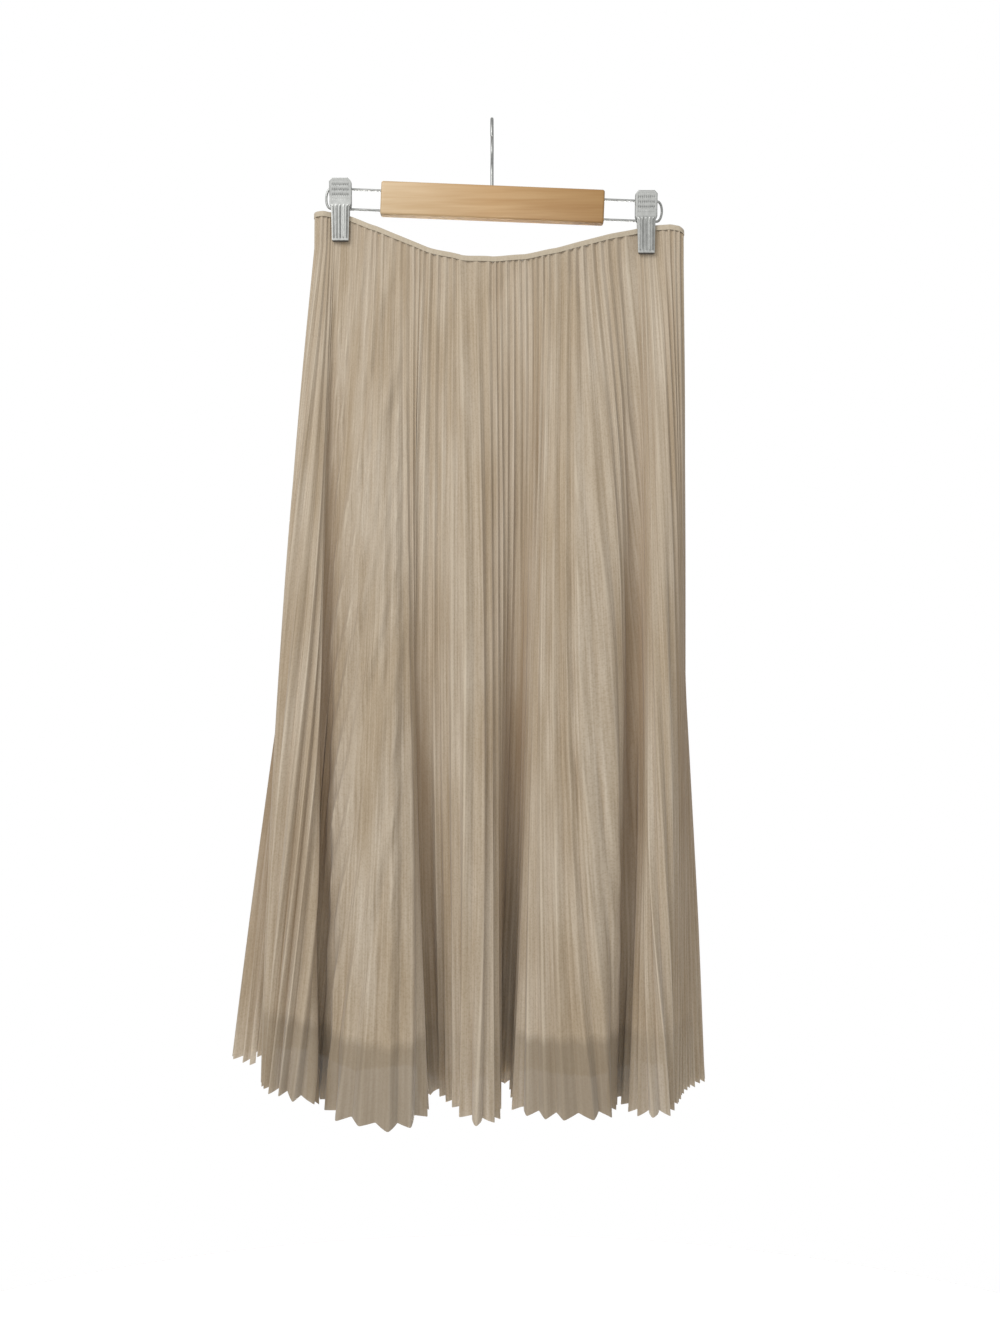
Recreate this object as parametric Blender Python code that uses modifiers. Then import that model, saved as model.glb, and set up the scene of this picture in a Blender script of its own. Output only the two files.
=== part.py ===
"""Pleated tulle skirt hanging from a wooden clip hanger, as solids in metres, +Z up.

The origin is the inside top of the hook, where a clothes rod carries it.  The skirt's front
faces -Y and its width runs along X.  The cloth is two pleated tulle panels, sewn at the
sides, over two plain lining panels, all gathered into one bound waist edge.
"""

import math
from collections import namedtuple

import bmesh
import bpy
import numpy as np
from mathutils import Matrix, Vector

# Units and fits
MM = 0.001
SEAM_GAP = 0.3 * MM
FIT_GAP = 0.3 * MM

# Cloth
TULLE_WALL = 1.4 * MM  # at a crease; a pleat's legs between the creases come out thinner
LINING_WALL = 1.1 * MM
PLEATS_FRONT = 62
PLEATS_BACK = 50
PLEAT_HALF_DEPTH_WAIST = 1.1 * MM
PLEAT_HALF_DEPTH_HEM = 4.2 * MM
FOLD_ROUNDING = 7.0 * MM  # the bell curve's width that rounds the folds between their rows
PLEAT_FLATTEN = 0.7  # share of the pleat depth that a clip presses away
PLEAT_FLATTEN_WIDTH = 17.0 * MM
HEM_POINT = 2.4 * MM  # how far a ridge's hem hangs below the mean line, and a valley's above it
STRAIGHT_SHARE = 0.035  # the share of the length that falls straight down, gripped by the clips
FLATTEN_END = 0.13
SEAM_ALLOWANCE = 2.5 * MM  # the lining lies flat this far to each side of a seam
LINING_CLEARANCE = 0.6 * MM
LINING_EASE = 1.4 * MM  # the lining hangs this much freer near its hem
LINING_SLACK = 1.3 * MM  # and this much freer halfway down
LINING_COLUMNS_FRONT = 72
LINING_COLUMNS_BACK = 54
LINING_FLAT_STEP = 60.0 * MM  # the lining's columns are this far apart where it doesn't turn
SPREAD_POWER = 1.08  # how evenly the skirt widens on its way down
DEEPEN_POWER = 0.92  # how evenly its folds deepen
BACK_SAG = 5.0 * MM  # how much lower the waist's back edge hangs
BACK_SAG_DEPTH = 13.0 * MM  # the distance behind the middle at which it hangs that low

# Heights at which the cloth is drawn, as shares of its length
TULLE_LEVELS = (0.0, 0.035, 0.11, 0.23, 0.40, 0.60, 0.80, 1.0)
LINING_LEVELS = (0.0, 0.035, 0.11, 0.23, 0.40, 0.60, 0.80, 0.915)

# Bound waist edge
BINDING_HEIGHT = 4.6 * MM
BINDING_SEAM = 0.45 * MM  # between the band's lower edge and the cloth below it
BINDING_WALL = 2.2 * MM
BINDING_COLUMNS = 88
WAIST_LEFT = -168.0 * MM
WAIST_RIGHT = 181.5 * MM
WAIST_END_POWER = 50  # the higher, the squarer the waist loop's two ends

# Hanger
HANGER_TILT = math.radians(2.3)
BAR_CENTRE = Vector((0.5, 0.0, -77.6)) * MM
BAR_SIZE = Vector((212.0, 12.0, 32.0)) * MM
BAR_ROUNDING = 2.2 * MM
RAIL_RADIUS = 1.1 * MM
RAIL_UPPER = 8.0 * MM
RAIL_LOWER = -11.0 * MM
RAIL_REACH = {"left": 158.0 * MM, "right": 161.0 * MM}
RAIL_BEND = 4.5 * MM
RAIL_IN_BAR = 12.0 * MM
HOOK_RADIUS = 1.5 * MM
HOOK_INNER_RADIUS = 18.0 * MM
HOOK_IN_BAR = 16.0 * MM
HOOK_NECK_STRAIGHT = 7.7 * MM  # the wire stands straight this far above the bar
HOOK_NECK_RISE = 8.0 * MM
HOOK_NECK_LEAD = 9.0 * MM
HOOK_NECK_END = math.radians(-62.0)
HOOK_TIP_ANGLE = math.radians(-6.0)
HOOK_STEPS = 17
HOLE_RUN_OUT = 10.0 * MM  # a drill runs this far past the face that it enters

# Clips, in a frame at the middle of the two rails, with z up
CLIP_X = {"left": -143.4 * MM, "right": 146.0 * MM}
CLIP_SHEET = 1.0 * MM
CLIP_TOP = 15.0 * MM
CLIP_BOTTOM = -43.0 * MM
CLIP_SHOULDER = -8.0 * MM
CLIP_CORNER = 3.0 * MM
JAW_DEPTH = 8.0 * MM  # from the rails' plane to the outside of a jaw
GRIP_WIDTH = 20.0 * MM
JAW_WIDTH = 16.4 * MM
JAW_TIP_WIDTH = 15.0 * MM
RIB_COUNT = 4
RIB_RADIUS = 1.0 * MM
RIB_LENGTH = 31.0 * MM
RIB_MIDDLE = -25.0 * MM
FLANGE_BOTTOM = -13.9 * MM
FLANGE_TOP = 12.5 * MM
FLANGE_SHEET = 0.9 * MM
FLANGE_INSET = 0.5 * MM  # from the grip's side to the middle of the flange
FLANGE_REACH = 14.0 * MM
FLANGE_MIDDLE = -2.2 * MM
PAD_HEIGHT = 8.0 * MM
PAD_WIDTH = 14.4 * MM
PAD_CHAMFER = 0.5 * MM
PAD_OVERHANG = 0.8 * MM  # the pad reaches this far below the steel
CLOTH_HALF_GRIP = 4.9 * MM
SPRING_SHEET = 0.8 * MM
SPRING_WIDTH = 10.0 * MM

# One row for each crest, flank or valley of a fold, in millimetres.  waist_side and waist_x
# say where on the waist loop its crease starts, hem_x, hem_y and hem_z where it ends on the
# hem, and bow_x and bow_y how far it swings halfway down.  -Y is towards the front.  slide is
# how far the pleats have moved round the hem past the fold, since they slant as they fall.
Fold = namedtuple("Fold", "name waist_side waist_x bow_x bow_y hem_x hem_y hem_z slide")

FRONT_FOLDS = (
    Fold("left side seam", "back", -153.0, -8, 0, -211, -2, -900, -26),
    Fold("left flap outer flank", "back", -165.0, -11, 0, -208, -46, -904, -38),
    Fold("left flap crest outside", "front", -166.5, -9, 0, -199, -86, -907, -49),
    Fold("left flap crest inside", "front", -159.5, -6, 0, -177, -93, -910, -56),
    Fold("left flap edge", "front", -154.5, -3, 0, -157, -85, -917, -62),
    Fold("left slit outside", "front", -151.5, -2, 0, -163, -70, -920, -66),
    Fold("left slit valley", "front", -149.0, -1, 0, -167, -52, -922, -70),
    Fold("left slit inside", "front", -146.0, -1, 0, -155, -48, -923, -74),
    Fold("left panel flank", "front", -140.0, 0, 0, -149, -67, -923, -80),
    Fold("left panel shoulder", "front", -130.0, 2, 0, -138, -86, -925, -80),
    Fold("left panel crest", "front", -107.0, -2, 0, -90, -108, -929, -70),
    Fold("left panel edge", "front", -87.0, -2, 0, -60, -86, -923, -50),
    Fold("left valley outside", "front", -66.5, -3, -16, -65, -24, -919, -20),
    Fold("left valley inside", "front", -60.5, -3, -16, -49, -22, -918, -12),
    Fold("middle panel flank", "front", -47.0, -3, -5, -35, -50, -919, -10),
    Fold("middle panel crest outside", "front", -30.0, -2, 0, -18, -78, -928, -10),
    Fold("middle panel crest inside", "front", -17.0, -1, 0, -3, -77, -929, -10),
    Fold("middle panel inner flank", "front", 3.0, 3, -2, 5, -46, -928, -6),
    Fold("deep valley outside", "front", 22.0, 3, -12, 4, 6, -915, 0),
    Fold("deep valley inside", "front", 28.5, 3, -12, 19, 8, -915, 6),
    Fold("right panel inner flank", "front", 43.0, 1, -2, 20.5, -32, -920, 26),
    Fold("right panel shoulder", "front", 56.0, 0, 0, 25, -64, -926, 36),
    Fold("right panel crest inside", "front", 74.0, 1, 0, 52, -79, -927, 50),
    Fold("right panel crest", "front", 92.0, 3, 0, 84, -84, -927, 62),
    Fold("right panel outer flank", "front", 108.0, 9, 0, 107, -74, -925, 68),
    Fold("right strip outside", "front", 127.0, 7, 0, 111, -34, -924, 70),
    Fold("right strip inside", "front", 138.0, 9, 0, 120, -26, -923, 68),
    Fold("right flap inner flank", "front", 146.0, 8, 0, 129, -58, -922, 60),
    Fold("right flap crest inside", "front", 154.0, 4, 0, 140, -76, -922, 54),
    Fold("right flap crest outside", "front", 162.5, 3, 0, 156, -75, -922, 49),
    Fold("right flap outer flank", "front", 174.5, 4, 0, 167, -42, -921, 37),
)

BACK_FOLDS = (
    Fold("right side seam", "back", 178.0, 3, 0, 183, 10, -919, 20),
    Fold("right back flap inside", "back", 163.0, 4, 0, 205, 46, -922, 10),
    Fold("right back flap outside", "back", 152.0, 3, 0, 205, 68, -922, 6),
    Fold("back panel 1 crest", "back", 122.0, 0, 0, 151, 114, -922, 0),
    Fold("back valley 1", "back", 88.0, -3, 0, 98, 52, -921, 0),
    Fold("back panel 2 flank", "back", 62.0, 0, 0, 66, 92, -927, 0),
    Fold("back panel 2 crest", "back", 42.0, 0, 0, 28, 120, -931, 0),
    Fold("back valley 2", "back", 5.0, 3, 0, -34, 68, -929, 0),
    Fold("back panel 3 crest", "back", -31.0, 0, 0, -84, 118, -927, 0),
    Fold("back valley 3", "back", -66.0, -3, 0, -136, 54, -914, 0),
    Fold("back panel 4 crest", "back", -100.0, 0, 0, -190, 110, -908, -6),
    Fold("left back flap outside", "back", -127.0, -9, 0, -250, 66, -900, -12),
    Fold("left back flap inside", "back", -137.0, -9, 0, -249, 42, -899, -16),
)

# The waist edge's height and the waist loop's half depth along X, in millimetres
WaistStation = namedtuple("WaistStation", "x edge_z half_depth")

WAIST = (
    WaistStation(-168.0, -87.0, 6.5),
    WaistStation(-160.0, -86.4, 6.0),
    WaistStation(-152.0, -87.2, 3.5),
    WaistStation(-144.0, -88.6, 3.5),
    WaistStation(-136.0, -90.5, 3.5),
    WaistStation(-110.0, -101.0, 7.5),
    WaistStation(-86.0, -111.4, 10.0),
    WaistStation(-60.0, -122.6, 12.0),
    WaistStation(-28.0, -130.2, 13.0),
    WaistStation(0.0, -131.4, 13.0),
    WaistStation(30.0, -129.4, 13.0),
    WaistStation(60.0, -123.2, 12.0),
    WaistStation(86.0, -115.8, 10.0),
    WaistStation(110.0, -109.0, 7.5),
    WaistStation(137.0, -102.8, 3.5),
    WaistStation(146.0, -101.0, 3.5),
    WaistStation(155.0, -99.6, 3.5),
    WaistStation(168.0, -99.2, 6.0),
    WaistStation(177.0, -100.6, 6.8),
    WaistStation(181.5, -103.0, 6.8),
)

# The back plate of a clip and the mirror of its front one: distance from the rails' plane and
# height, from the finger grip down to the tip, in millimetres
ClipStation = namedtuple("ClipStation", "depth height")

CLIP_SIDE = (
    ClipStation(12.0, 15.0),
    ClipStation(10.6, 8.0),
    ClipStation(8.6, -1.0),
    ClipStation(8.0, -8.0),
    ClipStation(8.0, -24.0),
    ClipStation(8.0, -34.0),
    ClipStation(8.0, -43.0),
)

# The bent strip spring of a clip, from its front leg to its back one, in millimetres
SpringStation = namedtuple("SpringStation", "depth height")

SPRING_SIDE = (
    SpringStation(-7.15, 1.5),
    SpringStation(-5.4, -3.0),
    SpringStation(-2.4, -6.2),
    SpringStation(2.4, -6.2),
    SpringStation(5.4, -3.0),
    SpringStation(7.15, 1.5),
)

Finish = namedtuple("Finish", "name colour roughness metallic")

TULLE = Finish("pleated_polyester_tulle", (0.54, 0.45, 0.34), 0.85, 0.0)
LINING = Finish("polyester_lining", (0.56, 0.47, 0.37), 0.7, 0.0)
BINDING = Finish("waist_binding_tape", (0.50, 0.44, 0.35), 0.8, 0.0)
WOOD = Finish("lacquered_beech", (0.55, 0.34, 0.15), 0.4, 0.0)
STEEL = Finish("nickel_plated_steel", (0.55, 0.55, 0.53), 0.3, 1.0)
PAD = Finish("clip_pad_plastic", (0.16, 0.17, 0.17), 0.5, 0.0)


def clear_scene():
    """Empties the file, so the script gives the same model each run."""
    for item in list(bpy.data.objects):
        bpy.data.objects.remove(item)


def new_collection(name):
    group = bpy.data.collections.new(name)
    bpy.context.scene.collection.children.link(group)
    return group


def material(finish):
    """The finish as a Principled material, made once."""
    made = bpy.data.materials.get(finish.name)
    if made:
        return made
    made = bpy.data.materials.new(finish.name)
    made.use_nodes = True
    shader = made.node_tree.nodes["Principled BSDF"]
    shader.inputs["Base Color"].default_value = (*finish.colour, 1.0)
    shader.inputs["Roughness"].default_value = finish.roughness
    shader.inputs["Metallic"].default_value = finish.metallic
    return made


def add_object(name, data, group, finish=None):
    piece = bpy.data.objects.new(name, data)
    group.objects.link(piece)
    if finish:
        data.materials.append(material(finish))
    return piece


def mesh_from(bm, name):
    bmesh.ops.recalc_face_normals(bm, faces=bm.faces)
    mesh = bpy.data.meshes.new(name)
    bm.to_mesh(mesh)
    bm.free()
    return mesh


def solidify(piece, thickness):
    """Gives an open surface its wall, half to each side."""
    wall = piece.modifiers.new("wall", "SOLIDIFY")
    wall.thickness = thickness
    wall.offset = 0.0
    return wall


def smooth_table(places, known, values):
    """Cubic curve through a table's values, with slopes from each row's neighbours."""
    known = np.asarray(known, float)
    values = np.asarray(values, float)
    slopes = np.gradient(values, known)
    places = np.clip(places, known[0], known[-1])
    row = np.clip(np.searchsorted(known, places) - 1, 0, len(known) - 2)
    span = known[row + 1] - known[row]
    f = (places - known[row]) / span
    start = (1 + 2 * f) * (1 - f) ** 2 * values[row] + f * (1 - f) ** 2 * span * slopes[row]
    end = f * f * (3 - 2 * f) * values[row + 1] - f * f * (1 - f) * span * slopes[row + 1]
    return start + end


def waist_edge(x):
    return smooth_table(x, [s.x * MM for s in WAIST], [s.edge_z * MM for s in WAIST])


def back_sag(y):
    """How much lower the waist edge hangs at this depth than at the front."""
    return BACK_SAG * np.clip(y / BACK_SAG_DEPTH, 0, 1)


def waist_half_depth(x):
    return smooth_table(x, [s.x * MM for s in WAIST], [s.half_depth * MM for s in WAIST])


class SkirtShape:
    """The skirt's smooth form without its pleats, by distance round the hem."""

    SAMPLES = 40
    EVEN_STEPS = 2400

    def __init__(self):
        self.waist_loop = self.make_waist_loop()
        self.make_hem()

    def make_waist_loop(self):
        """Points of the flattened waist, from the left end over the front and back again."""
        middle = (WAIST_LEFT + WAIST_RIGHT) / 2
        half = (WAIST_RIGHT - WAIST_LEFT) / 2
        turn = np.linspace(0, 2 * math.pi, 1441)
        reach = -np.cos(turn)
        x = middle + half * reach
        depth = waist_half_depth(x) * np.sqrt(np.maximum(1 - np.abs(reach) ** WAIST_END_POWER, 0))
        y = np.where(turn <= math.pi, -depth, depth)
        steps = np.hypot(np.diff(x), np.diff(y))
        self.waist_length = np.concatenate([[0], np.cumsum(steps)])
        return np.column_stack([x, y])

    def waist_place(self, x, front):
        """Distance along the waist loop at which it passes x on its front or back."""
        half = len(self.waist_loop) // 2
        if front:
            return np.interp(x, self.waist_loop[: half + 1, 0], self.waist_length[: half + 1])
        back = self.waist_loop[half:][::-1]
        return np.interp(x, back[:, 0], self.waist_length[half:][::-1])

    def make_hem(self):
        """A closed curve through the fold tables' hem points, walked at an even pace."""
        folds = FRONT_FOLDS + BACK_FOLDS
        count = len(folds)
        fields = ("hem_x", "hem_y", "hem_z", "bow_x", "bow_y", "slide")
        rows = np.array([[getattr(f, field) for field in fields] for f in folds]) * MM
        gaps = np.linalg.norm((np.roll(rows, -1, 0) - rows)[:, :2], axis=1)
        slopes = (np.roll(rows, -1, 0) - np.roll(rows, 1, 0)) / (gaps + np.roll(gaps, 1))[:, None]
        points = []
        for i in range(count):
            j = (i + 1) % count
            for f in np.arange(self.SAMPLES) / self.SAMPLES:
                points.append(
                    (1 + 2 * f) * (1 - f) ** 2 * rows[i]
                    + f * (1 - f) ** 2 * gaps[i] * slopes[i]
                    + f * f * (3 - 2 * f) * rows[j]
                    - f * f * (1 - f) * gaps[i] * slopes[j]
                )
        self.hem, self.hem_length, fold_places = self.rounded(np.array(points))
        self.around = self.hem_length[-1]
        self.right_seam = fold_places[len(FRONT_FOLDS)]
        waist = [self.waist_place(f.waist_x * MM, f.waist_side == "front") for f in folds]
        waist = np.unwrap(waist, period=self.waist_length[-1])
        self.fold_places = fold_places
        self.fold_waists = np.append(waist, waist[0] + self.waist_length[-1])

    def rounded(self, points):
        """The closed curve with its bends rounded, its running length and its rows' places."""
        closed = np.vstack([points, points[:1]])
        steps = np.linalg.norm(np.diff(closed[:, :2], axis=0), axis=1)
        length = np.concatenate([[0], np.cumsum(steps)])
        even = np.linspace(0, length[-1], self.EVEN_STEPS + 1)
        curve = np.column_stack([np.interp(even, length, c) for c in closed.T])[:-1]
        reach = FOLD_ROUNDING / even[1]
        shifts = np.arange(-int(3 * reach), int(3 * reach) + 1)
        weights = np.exp(-((shifts / reach) ** 2) / 2)
        weights /= weights.sum()
        curve = sum(w * np.roll(curve, shift, axis=0) for w, shift in zip(weights, shifts))
        curve = np.vstack([curve, curve[:1]])
        steps = np.linalg.norm(np.diff(curve[:, :2], axis=0), axis=1)
        new_length = np.concatenate([[0], np.cumsum(steps)])
        rows = np.interp(length[:: self.SAMPLES], even, new_length)
        return curve, new_length, rows

    def waist_point(self, place):
        """The waist loop's point from which the crease at this place round the hem falls."""
        wrapped = np.mod(place, self.around)
        along = np.interp(wrapped, self.fold_places, self.fold_waists)
        along = np.mod(along, self.waist_length[-1])
        x = np.interp(along, self.waist_length, self.waist_loop[:, 0])
        y = np.interp(along, self.waist_length, self.waist_loop[:, 1])
        return np.column_stack([x, y, waist_edge(x) - back_sag(y)])

    def hem_point(self, place):
        """The hem's point, its two bows and its slide at this place round the hem."""
        wrapped = np.mod(place, self.around)
        return np.column_stack([np.interp(wrapped, self.hem_length, c) for c in self.hem.T])

    def base(self, place, share):
        """The cloth's mean surface at a share of the way from the binding to the hem."""
        top = self.waist_point(place)
        top[:, 2] -= BINDING_HEIGHT + BINDING_SEAM
        hem = self.hem_point(place)
        down = max(share - STRAIGHT_SHARE, 0) / (1 - STRAIGHT_SHARE)
        spread = down**SPREAD_POWER
        deepen = down**DEEPEN_POWER
        swing = 4 * down * (1 - down)
        x = top[:, 0] + (hem[:, 0] - top[:, 0]) * spread + hem[:, 3] * swing
        y = top[:, 1] + (hem[:, 1] - top[:, 1]) * deepen + hem[:, 4] * swing
        z = top[:, 2] + (hem[:, 2] - top[:, 2]) * share
        return np.column_stack([x, y, z])

    def outward(self, place, share):
        """Level direction out of the skirt, square to its mean surface."""
        reach = 4 * MM
        along = self.base(place + reach, share) - self.base(place - reach, share)
        normal = np.column_stack([along[:, 1], -along[:, 0]])
        return normal / np.linalg.norm(normal, axis=1)[:, None]

    def pleat_half_depth(self, place, share):
        """Half the depth of a pleat, pressed flatter where a clip holds the waist."""
        depth = PLEAT_HALF_DEPTH_WAIST + (PLEAT_HALF_DEPTH_HEM - PLEAT_HALF_DEPTH_WAIST) * share
        x = self.waist_point(place)[:, 0]
        near = sum(np.exp(-(((x - clip) / PLEAT_FLATTEN_WIDTH) ** 4)) for clip in CLIP_X.values())
        fade = np.clip((FLATTEN_END - share) / (FLATTEN_END - STRAIGHT_SHARE), 0, 1)
        return depth * (1 - PLEAT_FLATTEN * near * fade)

    def slid(self, place, share):
        """Where on the folds a pleat lies at this height, as pleats slant on their way down."""
        return place + self.hem_point(place)[:, 5] * share

    def moved(self, place, share, distance):
        """The mean surface's points, moved out by a distance."""
        points = self.base(place, share)
        points[:, :2] += self.outward(place, share) * np.reshape(distance, (-1, 1))
        return points


def pleat_wave(count):
    """A pleated panel's corners: 1 on a ridge and -1 in a valley, with a seam mid-leg."""
    inner = np.arange(1, 2 * count + 1) / 2
    corners = np.concatenate([[0.25], inner, [count + 0.25]])
    wave = 1 - 4 * np.abs(corners - np.round(corners + 1e-9))
    return corners - 0.25, wave


def trim_ends(points):
    """Draws a panel's two side edges back from the seam by half its gap."""
    for end, inner in ((0, 1), (-1, -2)):
        step = points[inner] - points[end]
        points[end] += step / np.linalg.norm(step) * SEAM_GAP / 2
    return points


def sheet_object(name, levels, group, finish, wall):
    """A cloth panel: a grid with one row of points for each level, given a wall."""
    bm = bmesh.new()
    columns = len(levels[0])
    bmesh.ops.create_grid(bm, x_segments=columns - 1, y_segments=len(levels) - 1, size=1.0)
    bm.verts.ensure_lookup_table()
    for row, points in enumerate(levels):
        for column, point in enumerate(points):
            bm.verts[row * columns + column].co = point
    piece = add_object(name, mesh_from(bm, name), group, finish)
    solidify(piece, wall)
    return piece


def tulle_panel(name, shape, start, end, pleats, group):
    """One pleated tulle panel between two places round the hem."""
    corners, wave = pleat_wave(pleats)
    waist_places = start + (end - start) * corners / pleats
    levels = []
    for share in TULLE_LEVELS:
        places = shape.slid(waist_places, share)
        depth = shape.pleat_half_depth(places, share)
        points = shape.moved(places, share, wave * depth)
        points[:, 2] -= wave * HEM_POINT * share**8
        levels.append(trim_ends(points))
    return sheet_object(name, levels, group, TULLE, TULLE_WALL)


def turning_places(shape, start, end, count):
    """Places along a panel, closer together where its mean surface turns."""
    fine = np.linspace(start, end, 1200)
    turn = np.linalg.norm(np.diff(shape.outward(fine, 1.0), axis=0), axis=1)
    effort = np.concatenate([[0], np.cumsum(turn + np.diff(fine) / LINING_FLAT_STEP)])
    return np.interp(np.linspace(0, effort[-1], count), effort, fine)


def lining_panel(name, shape, start, end, columns, group):
    """One plain lining panel, just inside the valleys of the tulle."""
    middle = turning_places(shape, start + SEAM_ALLOWANCE, end - SEAM_ALLOWANCE, columns - 2)
    places = np.concatenate([[start], middle, [end]])
    walls = TULLE_WALL / 2 + LINING_WALL / 2 + LINING_CLEARANCE
    levels = []
    for share in LINING_LEVELS:
        ease = LINING_EASE * share + LINING_SLACK * 4 * share * (1 - share)
        inside = shape.pleat_half_depth(places, share) + walls + ease
        levels.append(trim_ends(shape.moved(places, share, -inside)))
    return sheet_object(name, levels, group, LINING, LINING_WALL)


def waist_binding(shape, group):
    """The bound waist edge: one closed band that the cloth is gathered into."""
    along = np.linspace(0, shape.waist_length[-1], BINDING_COLUMNS, endpoint=False)
    x = np.interp(along, shape.waist_length, shape.waist_loop[:, 0])
    y = np.interp(along, shape.waist_length, shape.waist_loop[:, 1])
    z = waist_edge(x) - back_sag(y)
    bm = bmesh.new()
    rings = []
    for drop in (0.0, BINDING_HEIGHT):
        ring = [bm.verts.new(point) for point in zip(x, y, z - drop)]
        for a, b in zip(ring, ring[1:] + ring[:1]):
            bm.edges.new((a, b))
        rings.append(ring)
    bmesh.ops.bridge_loops(bm, edges=bm.edges[:])
    piece = add_object("waist_binding", mesh_from(bm, "waist_binding"), group, BINDING)
    solidify(piece, BINDING_WALL)
    return piece


def tilted(point):
    """A point given from the bar's centre, turned with the hanger and put in its place."""
    return Matrix.Rotation(HANGER_TILT, 4, "Y") @ Vector(point) + BAR_CENTRE


def rod_cutter(name, start, end, radius, cutters):
    """A hidden cylinder between two points, for a drilled hole."""
    start = Vector(start)
    end = Vector(end)
    axis = end - start
    bm = bmesh.new()
    bmesh.ops.create_cone(
        bm, cap_ends=True, segments=16, radius1=radius, radius2=radius, depth=axis.length
    )
    turn = Vector((0, 0, 1)).rotation_difference(axis).to_matrix().to_4x4()
    bmesh.ops.transform(bm, matrix=Matrix.Translation((start + end) / 2) @ turn, verts=bm.verts)
    cutter = add_object(name, mesh_from(bm, name), cutters)
    cutter.hide_render = True
    cutter.display_type = "WIRE"
    return cutter


def cut(piece, cutter):
    hole = piece.modifiers.new(cutter.name, "BOOLEAN")
    hole.operation = "DIFFERENCE"
    hole.solver = "EXACT"
    hole.object = cutter


def block(bm, size, centre):
    """A box added to a bmesh, with its vertices returned."""
    made = bmesh.ops.create_cube(bm, size=1.0)["verts"]
    bmesh.ops.scale(bm, vec=size, verts=made)
    bmesh.ops.translate(bm, vec=centre, verts=made)
    return made


def rail_height(side):
    """Height of the rails' middle at a clip."""
    return BAR_CENTRE.z - math.tan(HANGER_TILT) * (CLIP_X[side] - BAR_CENTRE.x)


def hanger_bar(group, cutters):
    """The wooden bar, drilled for the hook and for the four rail ends."""
    bm = bmesh.new()
    block(bm, BAR_SIZE, (0, 0, 0))
    bmesh.ops.bevel(
        bm, geom=bm.edges[:], offset=BAR_ROUNDING, segments=2, profile=0.5, affect="EDGES"
    )
    turn = Matrix.Translation(BAR_CENTRE) @ Matrix.Rotation(HANGER_TILT, 4, "Y")
    bmesh.ops.transform(bm, matrix=turn, verts=bm.verts)
    bar = add_object("hanger_bar", mesh_from(bm, "hanger_bar"), group, WOOD)
    top = BAR_CENTRE.z + BAR_SIZE.z / 2
    hook_hole = ((0, 0, top - HOOK_IN_BAR - FIT_GAP), (0, 0, top + HOLE_RUN_OUT))
    cut(bar, rod_cutter("hook_hole", *hook_hole, HOOK_RADIUS + FIT_GAP, cutters))
    half = BAR_SIZE.x / 2
    for side, sign in (("left", -1), ("right", 1)):
        for level, height in (("upper", RAIL_UPPER), ("lower", RAIL_LOWER)):
            inner = tilted((sign * (half - RAIL_IN_BAR - FIT_GAP), 0, height))
            outer = tilted((sign * (half + HOLE_RUN_OUT), 0, height))
            name = f"rail_hole_{side}_{level}"
            cut(bar, rod_cutter(name, inner, outer, RAIL_RADIUS + FIT_GAP, cutters))
    return bar


def wire(name, points, radius, group):
    """A round steel wire along points, with flat closed ends."""
    curve = bpy.data.curves.new(name, "CURVE")
    curve.dimensions = "3D"
    curve.bevel_depth = radius
    curve.bevel_resolution = 2
    curve.use_fill_caps = True
    spline = curve.splines.new("POLY")
    spline.points.add(len(points) - 1)
    for knot, point in zip(spline.points, points):
        knot.co = (*point, 1.0)
    return add_object(name, curve, group, STEEL)


def hanger_rail(side, sign, group):
    """One bent wire: out of the bar's end, round a half turn and back into the bar."""
    bend = (RAIL_UPPER - RAIL_LOWER) / 2
    middle = (RAIL_UPPER + RAIL_LOWER) / 2
    inner = BAR_SIZE.x / 2 - RAIL_IN_BAR
    straight = RAIL_REACH[side] - RAIL_BEND
    path = [(inner, RAIL_UPPER)]
    for step in range(13):
        angle = math.pi / 2 - math.pi * step / 12
        path.append((straight + RAIL_BEND * math.cos(angle), middle + bend * math.sin(angle)))
    path.append((inner, RAIL_LOWER))
    points = [tilted((sign * x, 0, z)) for x, z in path]
    return wire(f"hanger_rail_{side}", points, RAIL_RADIUS, group)


def hanger_hook(group):
    """The hook, turned square to the bar, with its inside top at the origin."""
    ring = HOOK_INNER_RADIUS + HOOK_RADIUS
    centre = -HOOK_INNER_RADIUS
    top = BAR_CENTRE.z + BAR_SIZE.z / 2
    foot = top - HOOK_IN_BAR
    start = Vector((0.0, top + HOOK_NECK_STRAIGHT))
    heading = Vector((-math.sin(HOOK_NECK_END), math.cos(HOOK_NECK_END)))
    meet = Vector((ring * math.cos(HOOK_NECK_END), centre + ring * math.sin(HOOK_NECK_END)))
    rise = start + Vector((0.0, HOOK_NECK_RISE))
    lead = meet - heading * HOOK_NECK_LEAD
    path = [(0.0, foot), (start.x, start.y)]
    for step in range(1, 6):
        f = step / 6
        point = (
            start * (1 - f) ** 3
            + rise * 3 * f * (1 - f) ** 2
            + lead * 3 * f * f * (1 - f)
            + meet * f**3
        )
        path.append((point.x, point.y))
    end = math.pi - HOOK_TIP_ANGLE
    for step in range(HOOK_STEPS + 1):
        angle = HOOK_NECK_END + (end - HOOK_NECK_END) * step / HOOK_STEPS
        path.append((ring * math.cos(angle), centre + ring * math.sin(angle)))
    points = [(0.0, y, z) for y, z in path]
    return wire("hanger_hook", points, HOOK_RADIUS, group)


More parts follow.
